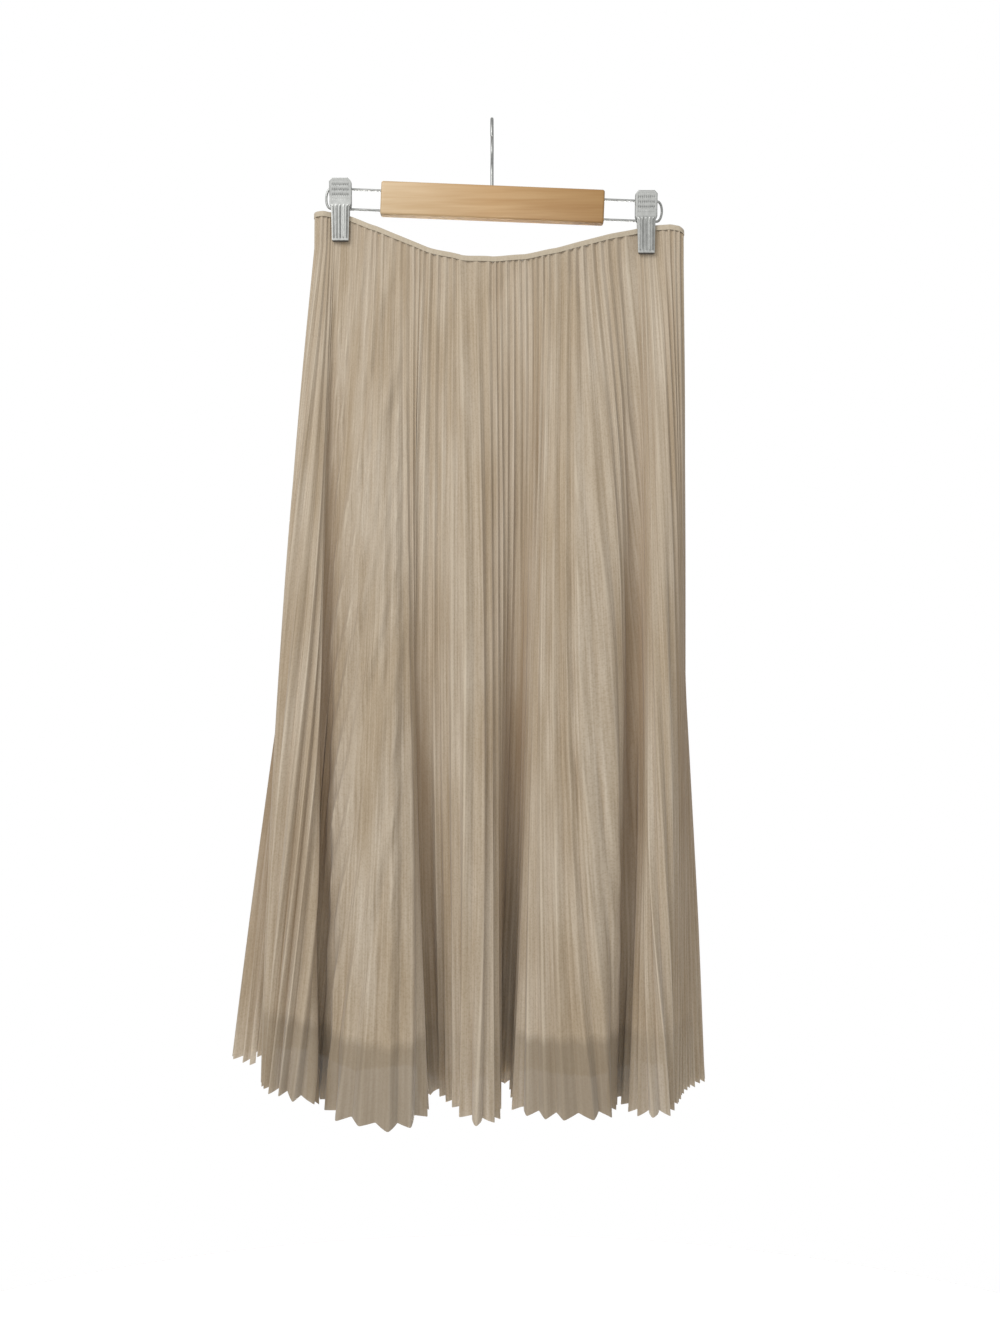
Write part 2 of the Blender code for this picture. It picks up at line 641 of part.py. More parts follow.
def plate_width(height):
    """A clip plate's width: a broad grip with cut corners over a narrower jaw."""
    neck = CLIP_SHOULDER - CLIP_CORNER
    heights = [CLIP_BOTTOM, neck, CLIP_SHOULDER, CLIP_TOP - CLIP_CORNER, CLIP_TOP]
    widths = [JAW_TIP_WIDTH, JAW_WIDTH, GRIP_WIDTH, GRIP_WIDTH, GRIP_WIDTH - 2 * CLIP_CORNER]
    return float(np.interp(height, heights, widths))


def clip_plate_mesh(sign, width_scale=1.0):
    """A clip's bent sheet as a bmesh: closed, of an even thickness."""
    known = [s.height * MM for s in CLIP_SIDE][::-1]
    depths = [s.depth * MM for s in CLIP_SIDE][::-1]
    breaks = {CLIP_SHOULDER - CLIP_CORNER, CLIP_SHOULDER, CLIP_TOP - CLIP_CORNER}
    heights = sorted(breaks | set(known))
    bm = bmesh.new()
    rings = []
    for height in heights:
        outer = float(np.interp(height, known, depths))
        inner = outer - CLIP_SHEET
        half = plate_width(height) * width_scale / 2
        corners = [(-half, outer), (half, outer), (half, inner), (-half, inner)]
        rings.append([bm.verts.new((x, sign * y, height)) for x, y in corners])
    for low, high in zip(rings, rings[1:]):
        for i in range(4):
            j = (i + 1) % 4
            bm.faces.new((low[i], low[j], high[j], high[i]))
    bm.faces.new(rings[0][::-1])
    bm.faces.new(rings[-1])
    bmesh.ops.recalc_face_normals(bm, faces=bm.faces)
    return bm


def helper(name, bm, cutters):
    """A hidden piece that is joined to another by a Boolean."""
    item = add_object(name, mesh_from(bm, name), cutters)
    item.hide_render = True
    item.display_type = "WIRE"
    return item


def join(piece, extra):
    union = piece.modifiers.new(extra.name, "BOOLEAN")
    union.operation = "UNION"
    union.solver = "EXACT"
    union.object = extra


def clip_front(side, place, group, cutters):
    """A clip's front sheet, with ribs pressed in its jaw and two flanges round the rails."""
    name = f"clip_{side}_front"
    bm = clip_plate_mesh(-1)
    bmesh.ops.translate(bm, vec=place, verts=bm.verts)
    piece = add_object(name, mesh_from(bm, name), group, STEEL)
    pitch = JAW_TIP_WIDTH / RIB_COUNT
    for index in range(RIB_COUNT):
        x = (index - (RIB_COUNT - 1) / 2) * pitch
        rib = bmesh.new()
        bmesh.ops.create_cone(
            rib,
            cap_ends=True,
            segments=6,
            radius1=RIB_RADIUS,
            radius2=RIB_RADIUS,
            depth=RIB_LENGTH,
        )
        middle = place + Vector((x, -JAW_DEPTH, RIB_MIDDLE))
        bmesh.ops.translate(rib, vec=middle, verts=rib.verts)
        join(piece, helper(f"{name}_rib_{index}", rib, cutters))
    for hand, sign in (("a", -1), ("b", 1)):
        flange = bmesh.new()
        height = FLANGE_TOP - FLANGE_BOTTOM
        x = sign * (GRIP_WIDTH / 2 - FLANGE_INSET)
        centre = Vector((x, FLANGE_MIDDLE, (FLANGE_TOP + FLANGE_BOTTOM) / 2))
        block(flange, (FLANGE_SHEET, FLANGE_REACH, height), place + centre)
        join(piece, helper(f"{name}_flange_{hand}", flange, cutters))
    for level, height in (("upper", RAIL_UPPER), ("lower", RAIL_LOWER)):
        outer = (GRIP_WIDTH + HOLE_RUN_OUT) / 2
        slope = math.tan(HANGER_TILT)
        ends = [place + Vector((s * outer, 0, height - s * outer * slope)) for s in (-1, 1)]
        cut(piece, rod_cutter(f"{name}_{level}_hole", *ends, RAIL_RADIUS + FIT_GAP, cutters))
    return piece


def clip_back(side, place, group):
    """A clip's back sheet, which lies between the front one's flanges."""
    name = f"clip_{side}_back"
    between = GRIP_WIDTH - 2 * FLANGE_INSET - FLANGE_SHEET
    bm = clip_plate_mesh(1, (between - 2 * FIT_GAP) / GRIP_WIDTH)
    bmesh.ops.translate(bm, vec=place, verts=bm.verts)
    return add_object(name, mesh_from(bm, name), group, STEEL)


def clip_pad(side, face, sign, place, group):
    """The plastic pad inside a jaw's tip, which grips the cloth."""
    name = f"clip_{side}_pad_{face}"
    outer = JAW_DEPTH - CLIP_SHEET - FIT_GAP
    depth = outer - CLOTH_HALF_GRIP
    height = CLIP_BOTTOM + PAD_HEIGHT / 2 - PAD_OVERHANG
    centre = Vector((0, sign * (outer + CLOTH_HALF_GRIP) / 2, height))
    bm = bmesh.new()
    block(bm, (PAD_WIDTH, depth, PAD_HEIGHT), place + centre)
    bmesh.ops.bevel(
        bm, geom=bm.edges[:], offset=PAD_CHAMFER, segments=1, profile=0.5, affect="EDGES"
    )
    return add_object(name, mesh_from(bm, name), group, PAD)


def clip_spring(side, place, group):
    """The bent strip between the two sheets that presses the jaws shut."""
    name = f"clip_{side}_spring"
    bm = bmesh.new()
    edge = -SPRING_WIDTH / 2
    strip = [bm.verts.new((edge, s.depth * MM, s.height * MM)) for s in SPRING_SIDE]
    edges = [bm.edges.new(pair) for pair in zip(strip, strip[1:])]
    made = bmesh.ops.extrude_edge_only(bm, edges=edges)["geom"]
    moved = [item for item in made if isinstance(item, bmesh.types.BMVert)]
    bmesh.ops.translate(bm, vec=(SPRING_WIDTH, 0, 0), verts=moved)
    bmesh.ops.translate(bm, vec=place, verts=bm.verts)
    piece = add_object(name, mesh_from(bm, name), group, STEEL)
    solidify(piece, SPRING_SHEET)
    return piece


def build():
    clear_scene()
    group = new_collection("pleated_tulle_skirt")
    cutters = new_collection("cutters")
    shape = SkirtShape()
    right = shape.right_seam
    tulle_panel("tulle_front", shape, 0.0, right, PLEATS_FRONT, group)
    tulle_panel("tulle_back", shape, right, shape.around, PLEATS_BACK, group)
    lining_panel("lining_front", shape, 0.0, right, LINING_COLUMNS_FRONT, group)
    lining_panel("lining_back", shape, right, shape.around, LINING_COLUMNS_BACK, group)
    waist_binding(shape, group)
    hanger_bar(group, cutters)
    hanger_hook(group)
    for side, sign in (("left", -1), ("right", 1)):
        hanger_rail(side, sign, group)
        place = Vector((CLIP_X[side], 0.0, rail_height(side)))
        clip_front(side, place, group, cutters)
        clip_back(side, place, group)
        clip_spring(side, place, group)
        clip_pad(side, "front", -1, place, group)
        clip_pad(side, "back", 1, place, group)


build()
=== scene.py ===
# %% [markdown]
# # A pleated tulle skirt on a clip hanger
#
# This lesson dresses a plain model of a long pleated skirt.  The skirt hangs by its waist
# from two steel clips on a wooden bar.  The solids underneath give the true sizes; here each
# one gets a finer surface and the finish of the real material.
#
# The solids are loaded first and never moved, so every new piece can take its place from
# the same numbers.

import math
from collections import namedtuple

import bmesh
import bpy
import numpy as np
from mathutils import Matrix, Vector


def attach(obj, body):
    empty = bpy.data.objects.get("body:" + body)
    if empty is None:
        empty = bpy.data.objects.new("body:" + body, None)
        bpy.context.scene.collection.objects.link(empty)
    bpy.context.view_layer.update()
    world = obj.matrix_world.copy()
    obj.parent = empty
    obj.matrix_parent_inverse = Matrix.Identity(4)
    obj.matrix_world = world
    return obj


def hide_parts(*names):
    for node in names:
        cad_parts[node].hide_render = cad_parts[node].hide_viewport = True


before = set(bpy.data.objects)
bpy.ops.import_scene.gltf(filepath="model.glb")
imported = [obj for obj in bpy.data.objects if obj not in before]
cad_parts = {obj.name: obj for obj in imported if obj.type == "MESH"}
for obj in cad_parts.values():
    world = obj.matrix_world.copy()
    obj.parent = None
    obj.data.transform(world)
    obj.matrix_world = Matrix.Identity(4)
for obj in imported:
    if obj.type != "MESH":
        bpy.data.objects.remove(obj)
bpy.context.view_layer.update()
print("solids:", len(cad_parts))

# %% [markdown]
# ## Helpers for finishes
#
# A painter's colour is an sRGB hex value, but the renderer adds light in linear values, so
# one function turns the first into the second.  Another adds a node with its settings, its
# links and, for a colour ramp, its stops.

# %% Colour and node helpers
MM = 0.001


def colour(code, alpha=1.0):
    """An sRGB hex colour as linear red, green, blue and alpha."""
    parts = [int(code[i : i + 2], 16) / 255 for i in (0, 2, 4)]
    linear = [p / 12.92 if p <= 0.04045 else ((p + 0.055) / 1.055) ** 2.4 for p in parts]
    return (*linear, alpha)


def node(tree, kind, inputs=None, stops=(), **settings):
    """Adds a node; inputs are values or (node, output) pairs by socket name or number."""
    made = tree.nodes.new(kind)
    for key, value in settings.items():
        setattr(made, key, value)
    for key, value in (inputs or {}).items():
        socket = made.inputs[key]
        if isinstance(value, tuple) and len(value) == 2 and isinstance(value[0], bpy.types.Node):
            tree.links.new(value[0].outputs[value[1]], socket)
        else:
            socket.default_value = value
    for i, (position, code) in enumerate(stops):
        elements = made.color_ramp.elements
        element = elements[i] if i < len(elements) else elements.new(position)
        element.position = position
        element.color = colour(code)
    return made


def finish(name, **values):
    """A new material with one Principled shader, its plain values set on the shader."""
    made = bpy.data.materials.new(name)
    made.use_nodes = True
    shader = made.node_tree.nodes["Principled BSDF"]
    for key, value in values.items():
        shader.inputs[key.replace("_", " ")].default_value = value
    return made, made.node_tree, shader


print("mid beige in linear light:", [round(c, 3) for c in colour("bbab93")[:3]])

# %% [markdown]
# ## The skirt's sizes
#
# A pleated skirt has two kinds of fold.  The small ones are pleats, pressed into the cloth
# before it is sewn.  The large ones come from hanging.  They are listed here, one row
# for each crest, flank or valley, with where its crease starts on the waist and where it ends
# on the hem.  The same numbers shaped the solids, so the cloth lands on them.

# %% Sizes of the cloth and the fold tables
TULLE_WALL = 1.4 * MM
LINING_WALL = 1.1 * MM
PLEATS_FRONT = 62
PLEATS_BACK = 50
PLEAT_HALF_DEPTH_WAIST = 1.1 * MM
PLEAT_HALF_DEPTH_HEM = 4.2 * MM
FOLD_ROUNDING = 7.0 * MM
PLEAT_FLATTEN = 0.7
PLEAT_FLATTEN_WIDTH = 17.0 * MM
HEM_POINT = 2.4 * MM
STRAIGHT_SHARE = 0.035
FLATTEN_END = 0.13
LINING_CLEARANCE = 0.6 * MM
LINING_EASE = 1.4 * MM
LINING_SLACK = 1.3 * MM
LINING_END = 0.915
SPREAD_POWER = 1.08
DEEPEN_POWER = 0.92
BACK_SAG = 5.0 * MM
BACK_SAG_DEPTH = 13.0 * MM
BINDING_HEIGHT = 4.6 * MM
BINDING_SEAM = 0.45 * MM
BINDING_WALL = 2.2 * MM
WAIST_LEFT = -168.0 * MM
WAIST_RIGHT = 181.5 * MM
WAIST_END_POWER = 50
CLIP_X = {"left": -143.4 * MM, "right": 146.0 * MM}

Fold = namedtuple("Fold", "name waist_side waist_x bow_x bow_y hem_x hem_y hem_z slide")

FRONT_FOLDS = [Fold(*row) for row in (
    ("left side seam", "back", -153.0, -8, 0, -211, -2, -900, -26),
    ("left flap outer flank", "back", -165.0, -11, 0, -208, -46, -904, -38),
    ("left flap crest outside", "front", -166.5, -9, 0, -199, -86, -907, -49),
    ("left flap crest inside", "front", -159.5, -6, 0, -177, -93, -910, -56),
    ("left flap edge", "front", -154.5, -3, 0, -157, -85, -917, -62),
    ("left slit outside", "front", -151.5, -2, 0, -163, -70, -920, -66),
    ("left slit valley", "front", -149.0, -1, 0, -167, -52, -922, -70),
    ("left slit inside", "front", -146.0, -1, 0, -155, -48, -923, -74),
    ("left panel flank", "front", -140.0, 0, 0, -149, -67, -923, -80),
    ("left panel shoulder", "front", -130.0, 2, 0, -138, -86, -925, -80),
    ("left panel crest", "front", -107.0, -2, 0, -90, -108, -929, -70),
    ("left panel edge", "front", -87.0, -2, 0, -60, -86, -923, -50),
    ("left valley outside", "front", -66.5, -3, -16, -65, -24, -919, -20),
    ("left valley inside", "front", -60.5, -3, -16, -49, -22, -918, -12),
    ("middle panel flank", "front", -47.0, -3, -5, -35, -50, -919, -10),
    ("middle panel crest outside", "front", -30.0, -2, 0, -18, -78, -928, -10),
    ("middle panel crest inside", "front", -17.0, -1, 0, -3, -77, -929, -10),
    ("middle panel inner flank", "front", 3.0, 3, -2, 5, -46, -928, -6),
    ("deep valley outside", "front", 22.0, 3, -12, 4, 6, -915, 0),
    ("deep valley inside", "front", 28.5, 3, -12, 19, 8, -915, 6),
    ("right panel inner flank", "front", 43.0, 1, -2, 20.5, -32, -920, 26),
    ("right panel shoulder", "front", 56.0, 0, 0, 25, -64, -926, 36),
    ("right panel crest inside", "front", 74.0, 1, 0, 52, -79, -927, 50),
    ("right panel crest", "front", 92.0, 3, 0, 84, -84, -927, 62),
    ("right panel outer flank", "front", 108.0, 9, 0, 107, -74, -925, 68),
    ("right strip outside", "front", 127.0, 7, 0, 111, -34, -924, 70),
    ("right strip inside", "front", 138.0, 9, 0, 120, -26, -923, 68),
    ("right flap inner flank", "front", 146.0, 8, 0, 129, -58, -922, 60),
    ("right flap crest inside", "front", 154.0, 4, 0, 140, -76, -922, 54),
    ("right flap crest outside", "front", 162.5, 3, 0, 156, -75, -922, 49),
    ("right flap outer flank", "front", 174.5, 4, 0, 167, -42, -921, 37),
)]

BACK_FOLDS = [Fold(*row) for row in (
    ("right side seam", "back", 178.0, 3, 0, 183, 10, -919, 20),
    ("right back flap inside", "back", 163.0, 4, 0, 205, 46, -922, 10),
    ("right back flap outside", "back", 152.0, 3, 0, 205, 68, -922, 6),
    ("back panel 1 crest", "back", 122.0, 0, 0, 151, 114, -922, 0),
    ("back valley 1", "back", 88.0, -3, 0, 98, 52, -921, 0),
    ("back panel 2 flank", "back", 62.0, 0, 0, 66, 92, -927, 0),
    ("back panel 2 crest", "back", 42.0, 0, 0, 28, 120, -931, 0),
    ("back valley 2", "back", 5.0, 3, 0, -34, 68, -929, 0),
    ("back panel 3 crest", "back", -31.0, 0, 0, -84, 118, -927, 0),
    ("back valley 3", "back", -66.0, -3, 0, -136, 54, -914, 0),
    ("back panel 4 crest", "back", -100.0, 0, 0, -190, 110, -908, -6),
    ("left back flap outside", "back", -127.0, -9, 0, -250, 66, -900, -12),
    ("left back flap inside", "back", -137.0, -9, 0, -249, 42, -899, -16),
)]

WaistStation = namedtuple("WaistStation", "x edge_z half_depth")

WAIST = [WaistStation(*row) for row in (
    (-168.0, -87.0, 6.5), (-160.0, -86.4, 6.0), (-152.0, -87.2, 3.5), (-144.0, -88.6, 3.5),
    (-136.0, -90.5, 3.5), (-110.0, -101.0, 7.5), (-86.0, -111.4, 10.0), (-60.0, -122.6, 12.0),
    (-28.0, -130.2, 13.0), (0.0, -131.4, 13.0), (30.0, -129.4, 13.0), (60.0, -123.2, 12.0),
    (86.0, -115.8, 10.0), (110.0, -109.0, 7.5), (137.0, -102.8, 3.5), (146.0, -101.0, 3.5),
    (155.0, -99.6, 3.5), (168.0, -99.2, 6.0), (177.0, -100.6, 6.8), (181.5, -103.0, 6.8),
)]
print("folds:", len(FRONT_FOLDS) + len(BACK_FOLDS), "pleats:", PLEATS_FRONT + PLEATS_BACK)

# %% [markdown]
# ## The waist loop
#
# Laid flat in the clips, the waist is a long thin loop.  Its height dips in the middle, where
# nothing holds it.  A smooth curve through a short table of heights is easier to adjust than
# a formula, so that is what shapes it.


# %% The flattened waist
def smooth_table(places, known, values):
    """Cubic curve through a table's values, with slopes from each row's neighbours."""
    known = np.asarray(known, float)
    values = np.asarray(values, float)
    slopes = np.gradient(values, known)
    places = np.clip(places, known[0], known[-1])
    row = np.clip(np.searchsorted(known, places) - 1, 0, len(known) - 2)
    span = known[row + 1] - known[row]
    f = (places - known[row]) / span
    start = (1 + 2 * f) * (1 - f) ** 2 * values[row] + f * (1 - f) ** 2 * span * slopes[row]
    end = f * f * (3 - 2 * f) * values[row + 1] - f * f * (1 - f) * span * slopes[row]
    return start + end


def waist_edge(x):
    return smooth_table(x, [s.x * MM for s in WAIST], [s.edge_z * MM for s in WAIST])


def back_sag(y):
    return BACK_SAG * np.clip(y / BACK_SAG_DEPTH, 0, 1)


def waist_loop():
    """Points of the flattened waist, from the left end over the front and back again."""
    middle = (WAIST_LEFT + WAIST_RIGHT) / 2
    half = (WAIST_RIGHT - WAIST_LEFT) / 2
    turn = np.linspace(0, 2 * math.pi, 1441)
    reach = -np.cos(turn)
    x = middle + half * reach
    depths = smooth_table(x, [s.x * MM for s in WAIST], [s.half_depth * MM for s in WAIST])
    depth = depths * np.sqrt(np.maximum(1 - np.abs(reach) ** WAIST_END_POWER, 0))
    return np.column_stack([x, np.where(turn <= math.pi, -depth, depth)])


def running_length(points):
    steps = np.linalg.norm(np.diff(points[:, :2], axis=0), axis=1)
    return np.concatenate([[0], np.cumsum(steps)])


WAIST_LOOP = waist_loop()
WAIST_LENGTH = running_length(WAIST_LOOP)
print("waist round:", round(WAIST_LENGTH[-1] * 1000), "mm")

# %% [markdown]
# ## The hem curve
#
# The hem is one closed curve through the fold tables' points.  Its bends are rounded with a
# bell-shaped average, as cloth rounds them.  Every pleat is then found by its distance round
# this curve, so pleats stay evenly wide however the folds turn.


# %% The hem
def hem_curve(samples=40, even_steps=2400):
    """The rounded hem, its running length, and each fold's place on it."""
    folds = FRONT_FOLDS + BACK_FOLDS
    count = len(folds)
    fields = ("hem_x", "hem_y", "hem_z", "bow_x", "bow_y", "slide")
    rows = np.array([[getattr(f, field) for field in fields] for f in folds]) * MM
    gaps = np.linalg.norm((np.roll(rows, -1, 0) - rows)[:, :2], axis=1)
    slopes = (np.roll(rows, -1, 0) - np.roll(rows, 1, 0)) / (gaps + np.roll(gaps, 1))[:, None]
    points = []
    for i in range(count):
        j = (i + 1) % count
        for f in np.arange(samples) / samples:
            points.append(
                (1 + 2 * f) * (1 - f) ** 2 * rows[i]
                + f * (1 - f) ** 2 * gaps[i] * slopes[i]
                + f * f * (3 - 2 * f) * rows[j]
                - f * f * (1 - f) * gaps[i] * slopes[j]
            )
    closed = np.vstack([points, points[:1]])
    length = running_length(closed)
    even = np.linspace(0, length[-1], even_steps + 1)
    curve = np.column_stack([np.interp(even, length, c) for c in closed.T])[:-1]
    reach = FOLD_ROUNDING / even[1]
    shifts = np.arange(-int(3 * reach), int(3 * reach) + 1)
    weights = np.exp(-((shifts / reach) ** 2) / 2)
    weights /= weights.sum()
    curve = sum(w * np.roll(curve, shift, axis=0) for w, shift in zip(weights, shifts))
    curve = np.vstack([curve, curve[:1]])
    new_length = running_length(curve)
    return curve, new_length, np.interp(length[::samples], even, new_length)


def waist_place(x, front):
    """Distance along the waist loop at which it passes x on its front or back."""
    half = len(WAIST_LOOP) // 2
    if front:
        return np.interp(x, WAIST_LOOP[: half + 1, 0], WAIST_LENGTH[: half + 1])
    return np.interp(x, WAIST_LOOP[half:, 0][::-1], WAIST_LENGTH[half:][::-1])


HEM, HEM_LENGTH, FOLD_PLACES = hem_curve()
AROUND = HEM_LENGTH[-1]
RIGHT_SEAM = FOLD_PLACES[len(FRONT_FOLDS)]
FOLD_WAISTS = np.unwrap(
    [waist_place(f.waist_x * MM, f.waist_side == "front") for f in FRONT_FOLDS + BACK_FOLDS],
    period=WAIST_LENGTH[-1],
)
FOLD_WAISTS = np.append(FOLD_WAISTS, FOLD_WAISTS[0] + WAIST_LENGTH[-1])
print("hem round:", round(AROUND * 1000), "mm, front", round(RIGHT_SEAM * 1000), "mm")

# %% [markdown]
# ## The cloth's mean surface
#
# Between waist and hem each crease runs almost straight down, as gravity pulls it.  It first
# falls straight, where the clips press it, and then spreads.  The pleats are added to this
# surface by moving it out and in along its level normal.


# %% From waist to hem
def waist_point(place):
    """The waist's point from which the crease at this place round the hem falls."""
    along = np.interp(np.mod(place, AROUND), FOLD_PLACES, FOLD_WAISTS)
    along = np.mod(along, WAIST_LENGTH[-1])
    x = np.interp(along, WAIST_LENGTH, WAIST_LOOP[:, 0])
    y = np.interp(along, WAIST_LENGTH, WAIST_LOOP[:, 1])
    return np.column_stack([x, y, waist_edge(x) - back_sag(y)])


def mean_surface(place, share):
    """The surface without pleats, at a share of the way from the binding to the hem."""
    top = waist_point(place)
    top[:, 2] -= BINDING_HEIGHT + BINDING_SEAM
    wrapped = np.mod(place, AROUND)
    hem = np.column_stack([np.interp(wrapped, HEM_LENGTH, c) for c in HEM.T])
    down = np.maximum(share - STRAIGHT_SHARE, 0) / (1 - STRAIGHT_SHARE)
    spread = down**SPREAD_POWER
    deepen = down**DEEPEN_POWER
    swing = 4 * down * (1 - down)
    x = top[:, 0] + (hem[:, 0] - top[:, 0]) * spread + hem[:, 3] * swing
    y = top[:, 1] + (hem[:, 1] - top[:, 1]) * deepen + hem[:, 4] * swing
    z = top[:, 2] + (hem[:, 2] - top[:, 2]) * share
    return np.column_stack([x, y, z])


def outward(place, share):
    reach = 4 * MM
    along = mean_surface(place + reach, share) - mean_surface(place - reach, share)
    normal = np.column_stack([along[:, 1], -along[:, 0]])
    return normal / np.linalg.norm(normal, axis=1)[:, None]


def moved(place, share, distance):
    points = mean_surface(place, share)
    points[:, :2] += outward(place, share) * np.reshape(distance, (-1, 1))
    return points


half_way = mean_surface(np.array([RIGHT_SEAM / 2]), 0.5)[0]
print("middle of the front, half way down:", half_way.round(3))

# %% [markdown]
# ## How deep the pleats are and how they slant
#
# A pressed pleat is shallow where the waist gathers it and opens towards the hem.  Under a
# clip it is pressed almost flat.  The pleats also drift sideways into the nearest deep fold,
# so they meet its edge at a slant.


# %% Pleat depth and slant
def pleat_half_depth(place, share):
    """Half the depth of a pleat, pressed flatter where a clip holds the waist."""
    depth = PLEAT_HALF_DEPTH_WAIST + (PLEAT_HALF_DEPTH_HEM - PLEAT_HALF_DEPTH_WAIST) * share
    x = waist_point(place)[:, 0]
    near = sum(np.exp(-(((x - clip) / PLEAT_FLATTEN_WIDTH) ** 4)) for clip in CLIP_X.values())
    fade = np.clip((FLATTEN_END - share) / (FLATTEN_END - STRAIGHT_SHARE), 0, 1)
    return depth * (1 - PLEAT_FLATTEN * near * fade)


def slid(place, share):
    """Where on the folds a pleat lies at this height: pleats slant as they fall."""
    return place + np.interp(np.mod(place, AROUND), HEM_LENGTH, HEM[:, 5]) * share


print("pleat depth at the hem:", round(2000 * pleat_half_depth(np.array([0.3]), 1.0)[0], 1), "mm")

# %% [markdown]
# ## Drag lines
#
# Cloth that hangs from two clips is pulled a little sideways, and soft slanting ripples run
# over its pleats.  They are few and each has its own place, so they are a short table:
# where each ripple starts and ends, how wide it is and how far it stands out.  Each is
# a bell across its line that fades out at both ends.

# %% Drag lines
Ripple = namedtuple("Ripple", "start_x start_z end_x end_z width lift")

RIPPLES = [Ripple(*row) for row in (
    (-120, -125, -131, -199, 4.0, 1.2), (-96, -146, -117, -215, 4.5, 1.2),
    (-108, -215, -135, -285, 4.5, 1.2), (-90, -224, -108, -336, 5.0, 1.4),
    (-96, -257, -129, -343, 5.0, 1.5), (-120, -336, -141, -385, 4.5, 1.4),
    (-122, -411, -140, -465, 4.5, 1.6), (-114, -438, -136, -533, 5.0, 1.9),
    (-103, -479, -125, -578, 5.0, 1.9), (-125, -597, -152, -678, 5.0, 1.9),
    (-114, -597, -145, -696, 5.0, 2.1), (-96, -578, -114, -651, 5.0, 1.7),
    (-84, -470, -90, -600, 5.5, 1.4), (-100, -680, -122, -790, 5.5, 1.9),
    (71, -137, 86, -215, 4.5, 1.1), (94, -224, 105, -285, 4.5, 1.2),
    (118, -245, 134, -327, 4.5, 1.1), (86, -433, 91, -488, 3.5, 1.4),
    (49, -515, 56, -569, 3.5, 1.4), (91, -610, 98, -700, 3.5, 1.4),
    (60, -640, 70, -760, 4.5, 1.2), (28, -139, -11, -188, 7.0, -1.1),
    (-30, -160, -42, -230, 5.0, -0.9),
)]
RIPPLE_ENDS = 0.25  # a drag line fades out this share of its length past each end
SIDE_DENT = 0.55  # and the cloth beside it sinks by this share
DENT_AWAY = 1.9


def ripple_lift(points):
    """How far the drag lines move each point of the front out along its normal."""
    total = np.zeros(len(points))
    for r in RIPPLES:
        start = np.array([r.start_x, r.start_z]) * MM
        line = np.array([r.end_x, r.end_z]) * MM - start
        length = np.linalg.norm(line)
        line /= length
        away = points[:, [0, 2]] - start
        along = away @ line / length
        across = (away[:, 0] * line[1] - away[:, 1] * line[0]) / (r.width * MM)
        past = np.minimum(along + RIPPLE_ENDS, 1 + RIPPLE_ENDS - along)
        inside = np.clip(past / (2 * RIPPLE_ENDS), 0, 1)
        bell = np.exp(-(across**2)) - SIDE_DENT * np.exp(-((across + DENT_AWAY) ** 2))
        total += r.lift * MM * bell * inside * inside * (3 - 2 * inside)
    return total


print("drag lines:", len(RIPPLES))

# %% [markdown]
# ## A sheet from a grid
#
# Blender's grid operator makes the faces, and each row of its points is then laid on the
# cloth's surface.  The UV map is in real metres, across and down the cloth, so a weave drawn
# on it follows the pleats.  Named values on the points tell the finish more: "ridge" is 1 on
# a pleat's ridge and -1 in its valley, and picks the ridges that get a painted highlight; the
# fold recess value is how deep between two folds a point lies, and sets the painted shade
# there; "net_alone" is 1 where no lining stands behind, and sets the painted shade of the
# skirt's inside below the lining.


# %% Grid to cloth
def cloth_sheet(name, levels, across, down, values):
    """A thin cloth surface: one row of points per level, with its UV map and values."""
    rows, columns = len(levels), len(levels[0])
    bm = bmesh.new()
    bmesh.ops.create_grid(bm, x_segments=columns - 1, y_segments=rows - 1, size=1.0)
    bmesh.ops.reverse_faces(bm, faces=bm.faces)
    mesh = bpy.data.meshes.new(name)
    bm.to_mesh(mesh)
    bm.free()
    mesh.vertices.foreach_set("co", np.concatenate(levels).astype(np.float32).ravel())
    corner = np.empty(len(mesh.loops), int)
    mesh.loops.foreach_get("vertex_index", corner)
    u = np.tile(across, rows)[corner]
    v = np.repeat(down, columns)[corner]
    layer = mesh.uv_layers.new(name="cloth_metres")
    layer.data.foreach_set("uv", np.column_stack([u, v]).astype(np.float32).ravel())
    for label, numbers in values.items():
        value = mesh.attributes.new(label, "FLOAT", "POINT")
        value.data.foreach_set("value", np.concatenate(numbers).astype(np.float32))
    mesh.polygons.foreach_set("use_smooth", [True] * len(mesh.polygons))
    mesh.update()
    piece = bpy.data.objects.new(name, mesh)
    bpy.context.scene.collection.objects.link(piece)
    return piece


SHADE_REACH = 13 * MM
SHADE_STARTS, SHADE_FULL = 4 * MM, 26 * MM


def sunken(points, outside):
    """How far behind the cloth beside it each point lies, from 0 to 1 where shade is full."""
    y = points[:, 1] * outside
    near = np.abs(points[:, 0][:, None] - points[:, 0][None, :]) < SHADE_REACH
    nearest = np.where(near, y[None, :], np.inf).min(axis=1)
    return np.clip((y - nearest - SHADE_STARTS) / (SHADE_FULL - SHADE_STARTS), 0, 1)


def by_x(table, points):
    """The table's value for each point, from rows of x in mm and value."""
    return np.interp(points[:, 0] / MM, *zip(*table))


print("sheet maker ready; cloth is", round((1 - LINING_END) * 100, 1), "% unlined at the hem")

# %% [markdown]
# ## The pleated tulle
#
# Tulle is a fine net, here pressed with heat into narrow pleats.  Near the waist a pleat is
# a soft wave, and at the hem a zigzag: a ridge that catches the light and a narrow valley
# that stays dark.  Hanging pulls some pleats open and pushes others shut, so each one's depth
# and lean vary a little from a seeded list.

# %% Pleat section
PLEAT_SAMPLES = (-0.5, -0.46, -0.38, -0.24, -0.09, -0.03, 0.03, 0.09, 0.24, 0.38, 0.46)
LEVELS_TULLE = 84
PLEAT_SHARPNESS = 0.985
PRESSED_AT_WAIST = 0.35


def zigzag(soft, sharpness):
    """A cosine wave pressed into a zigzag whose corners are just rounded."""
    return np.arcsin(sharpness * soft) / math.asin(sharpness)


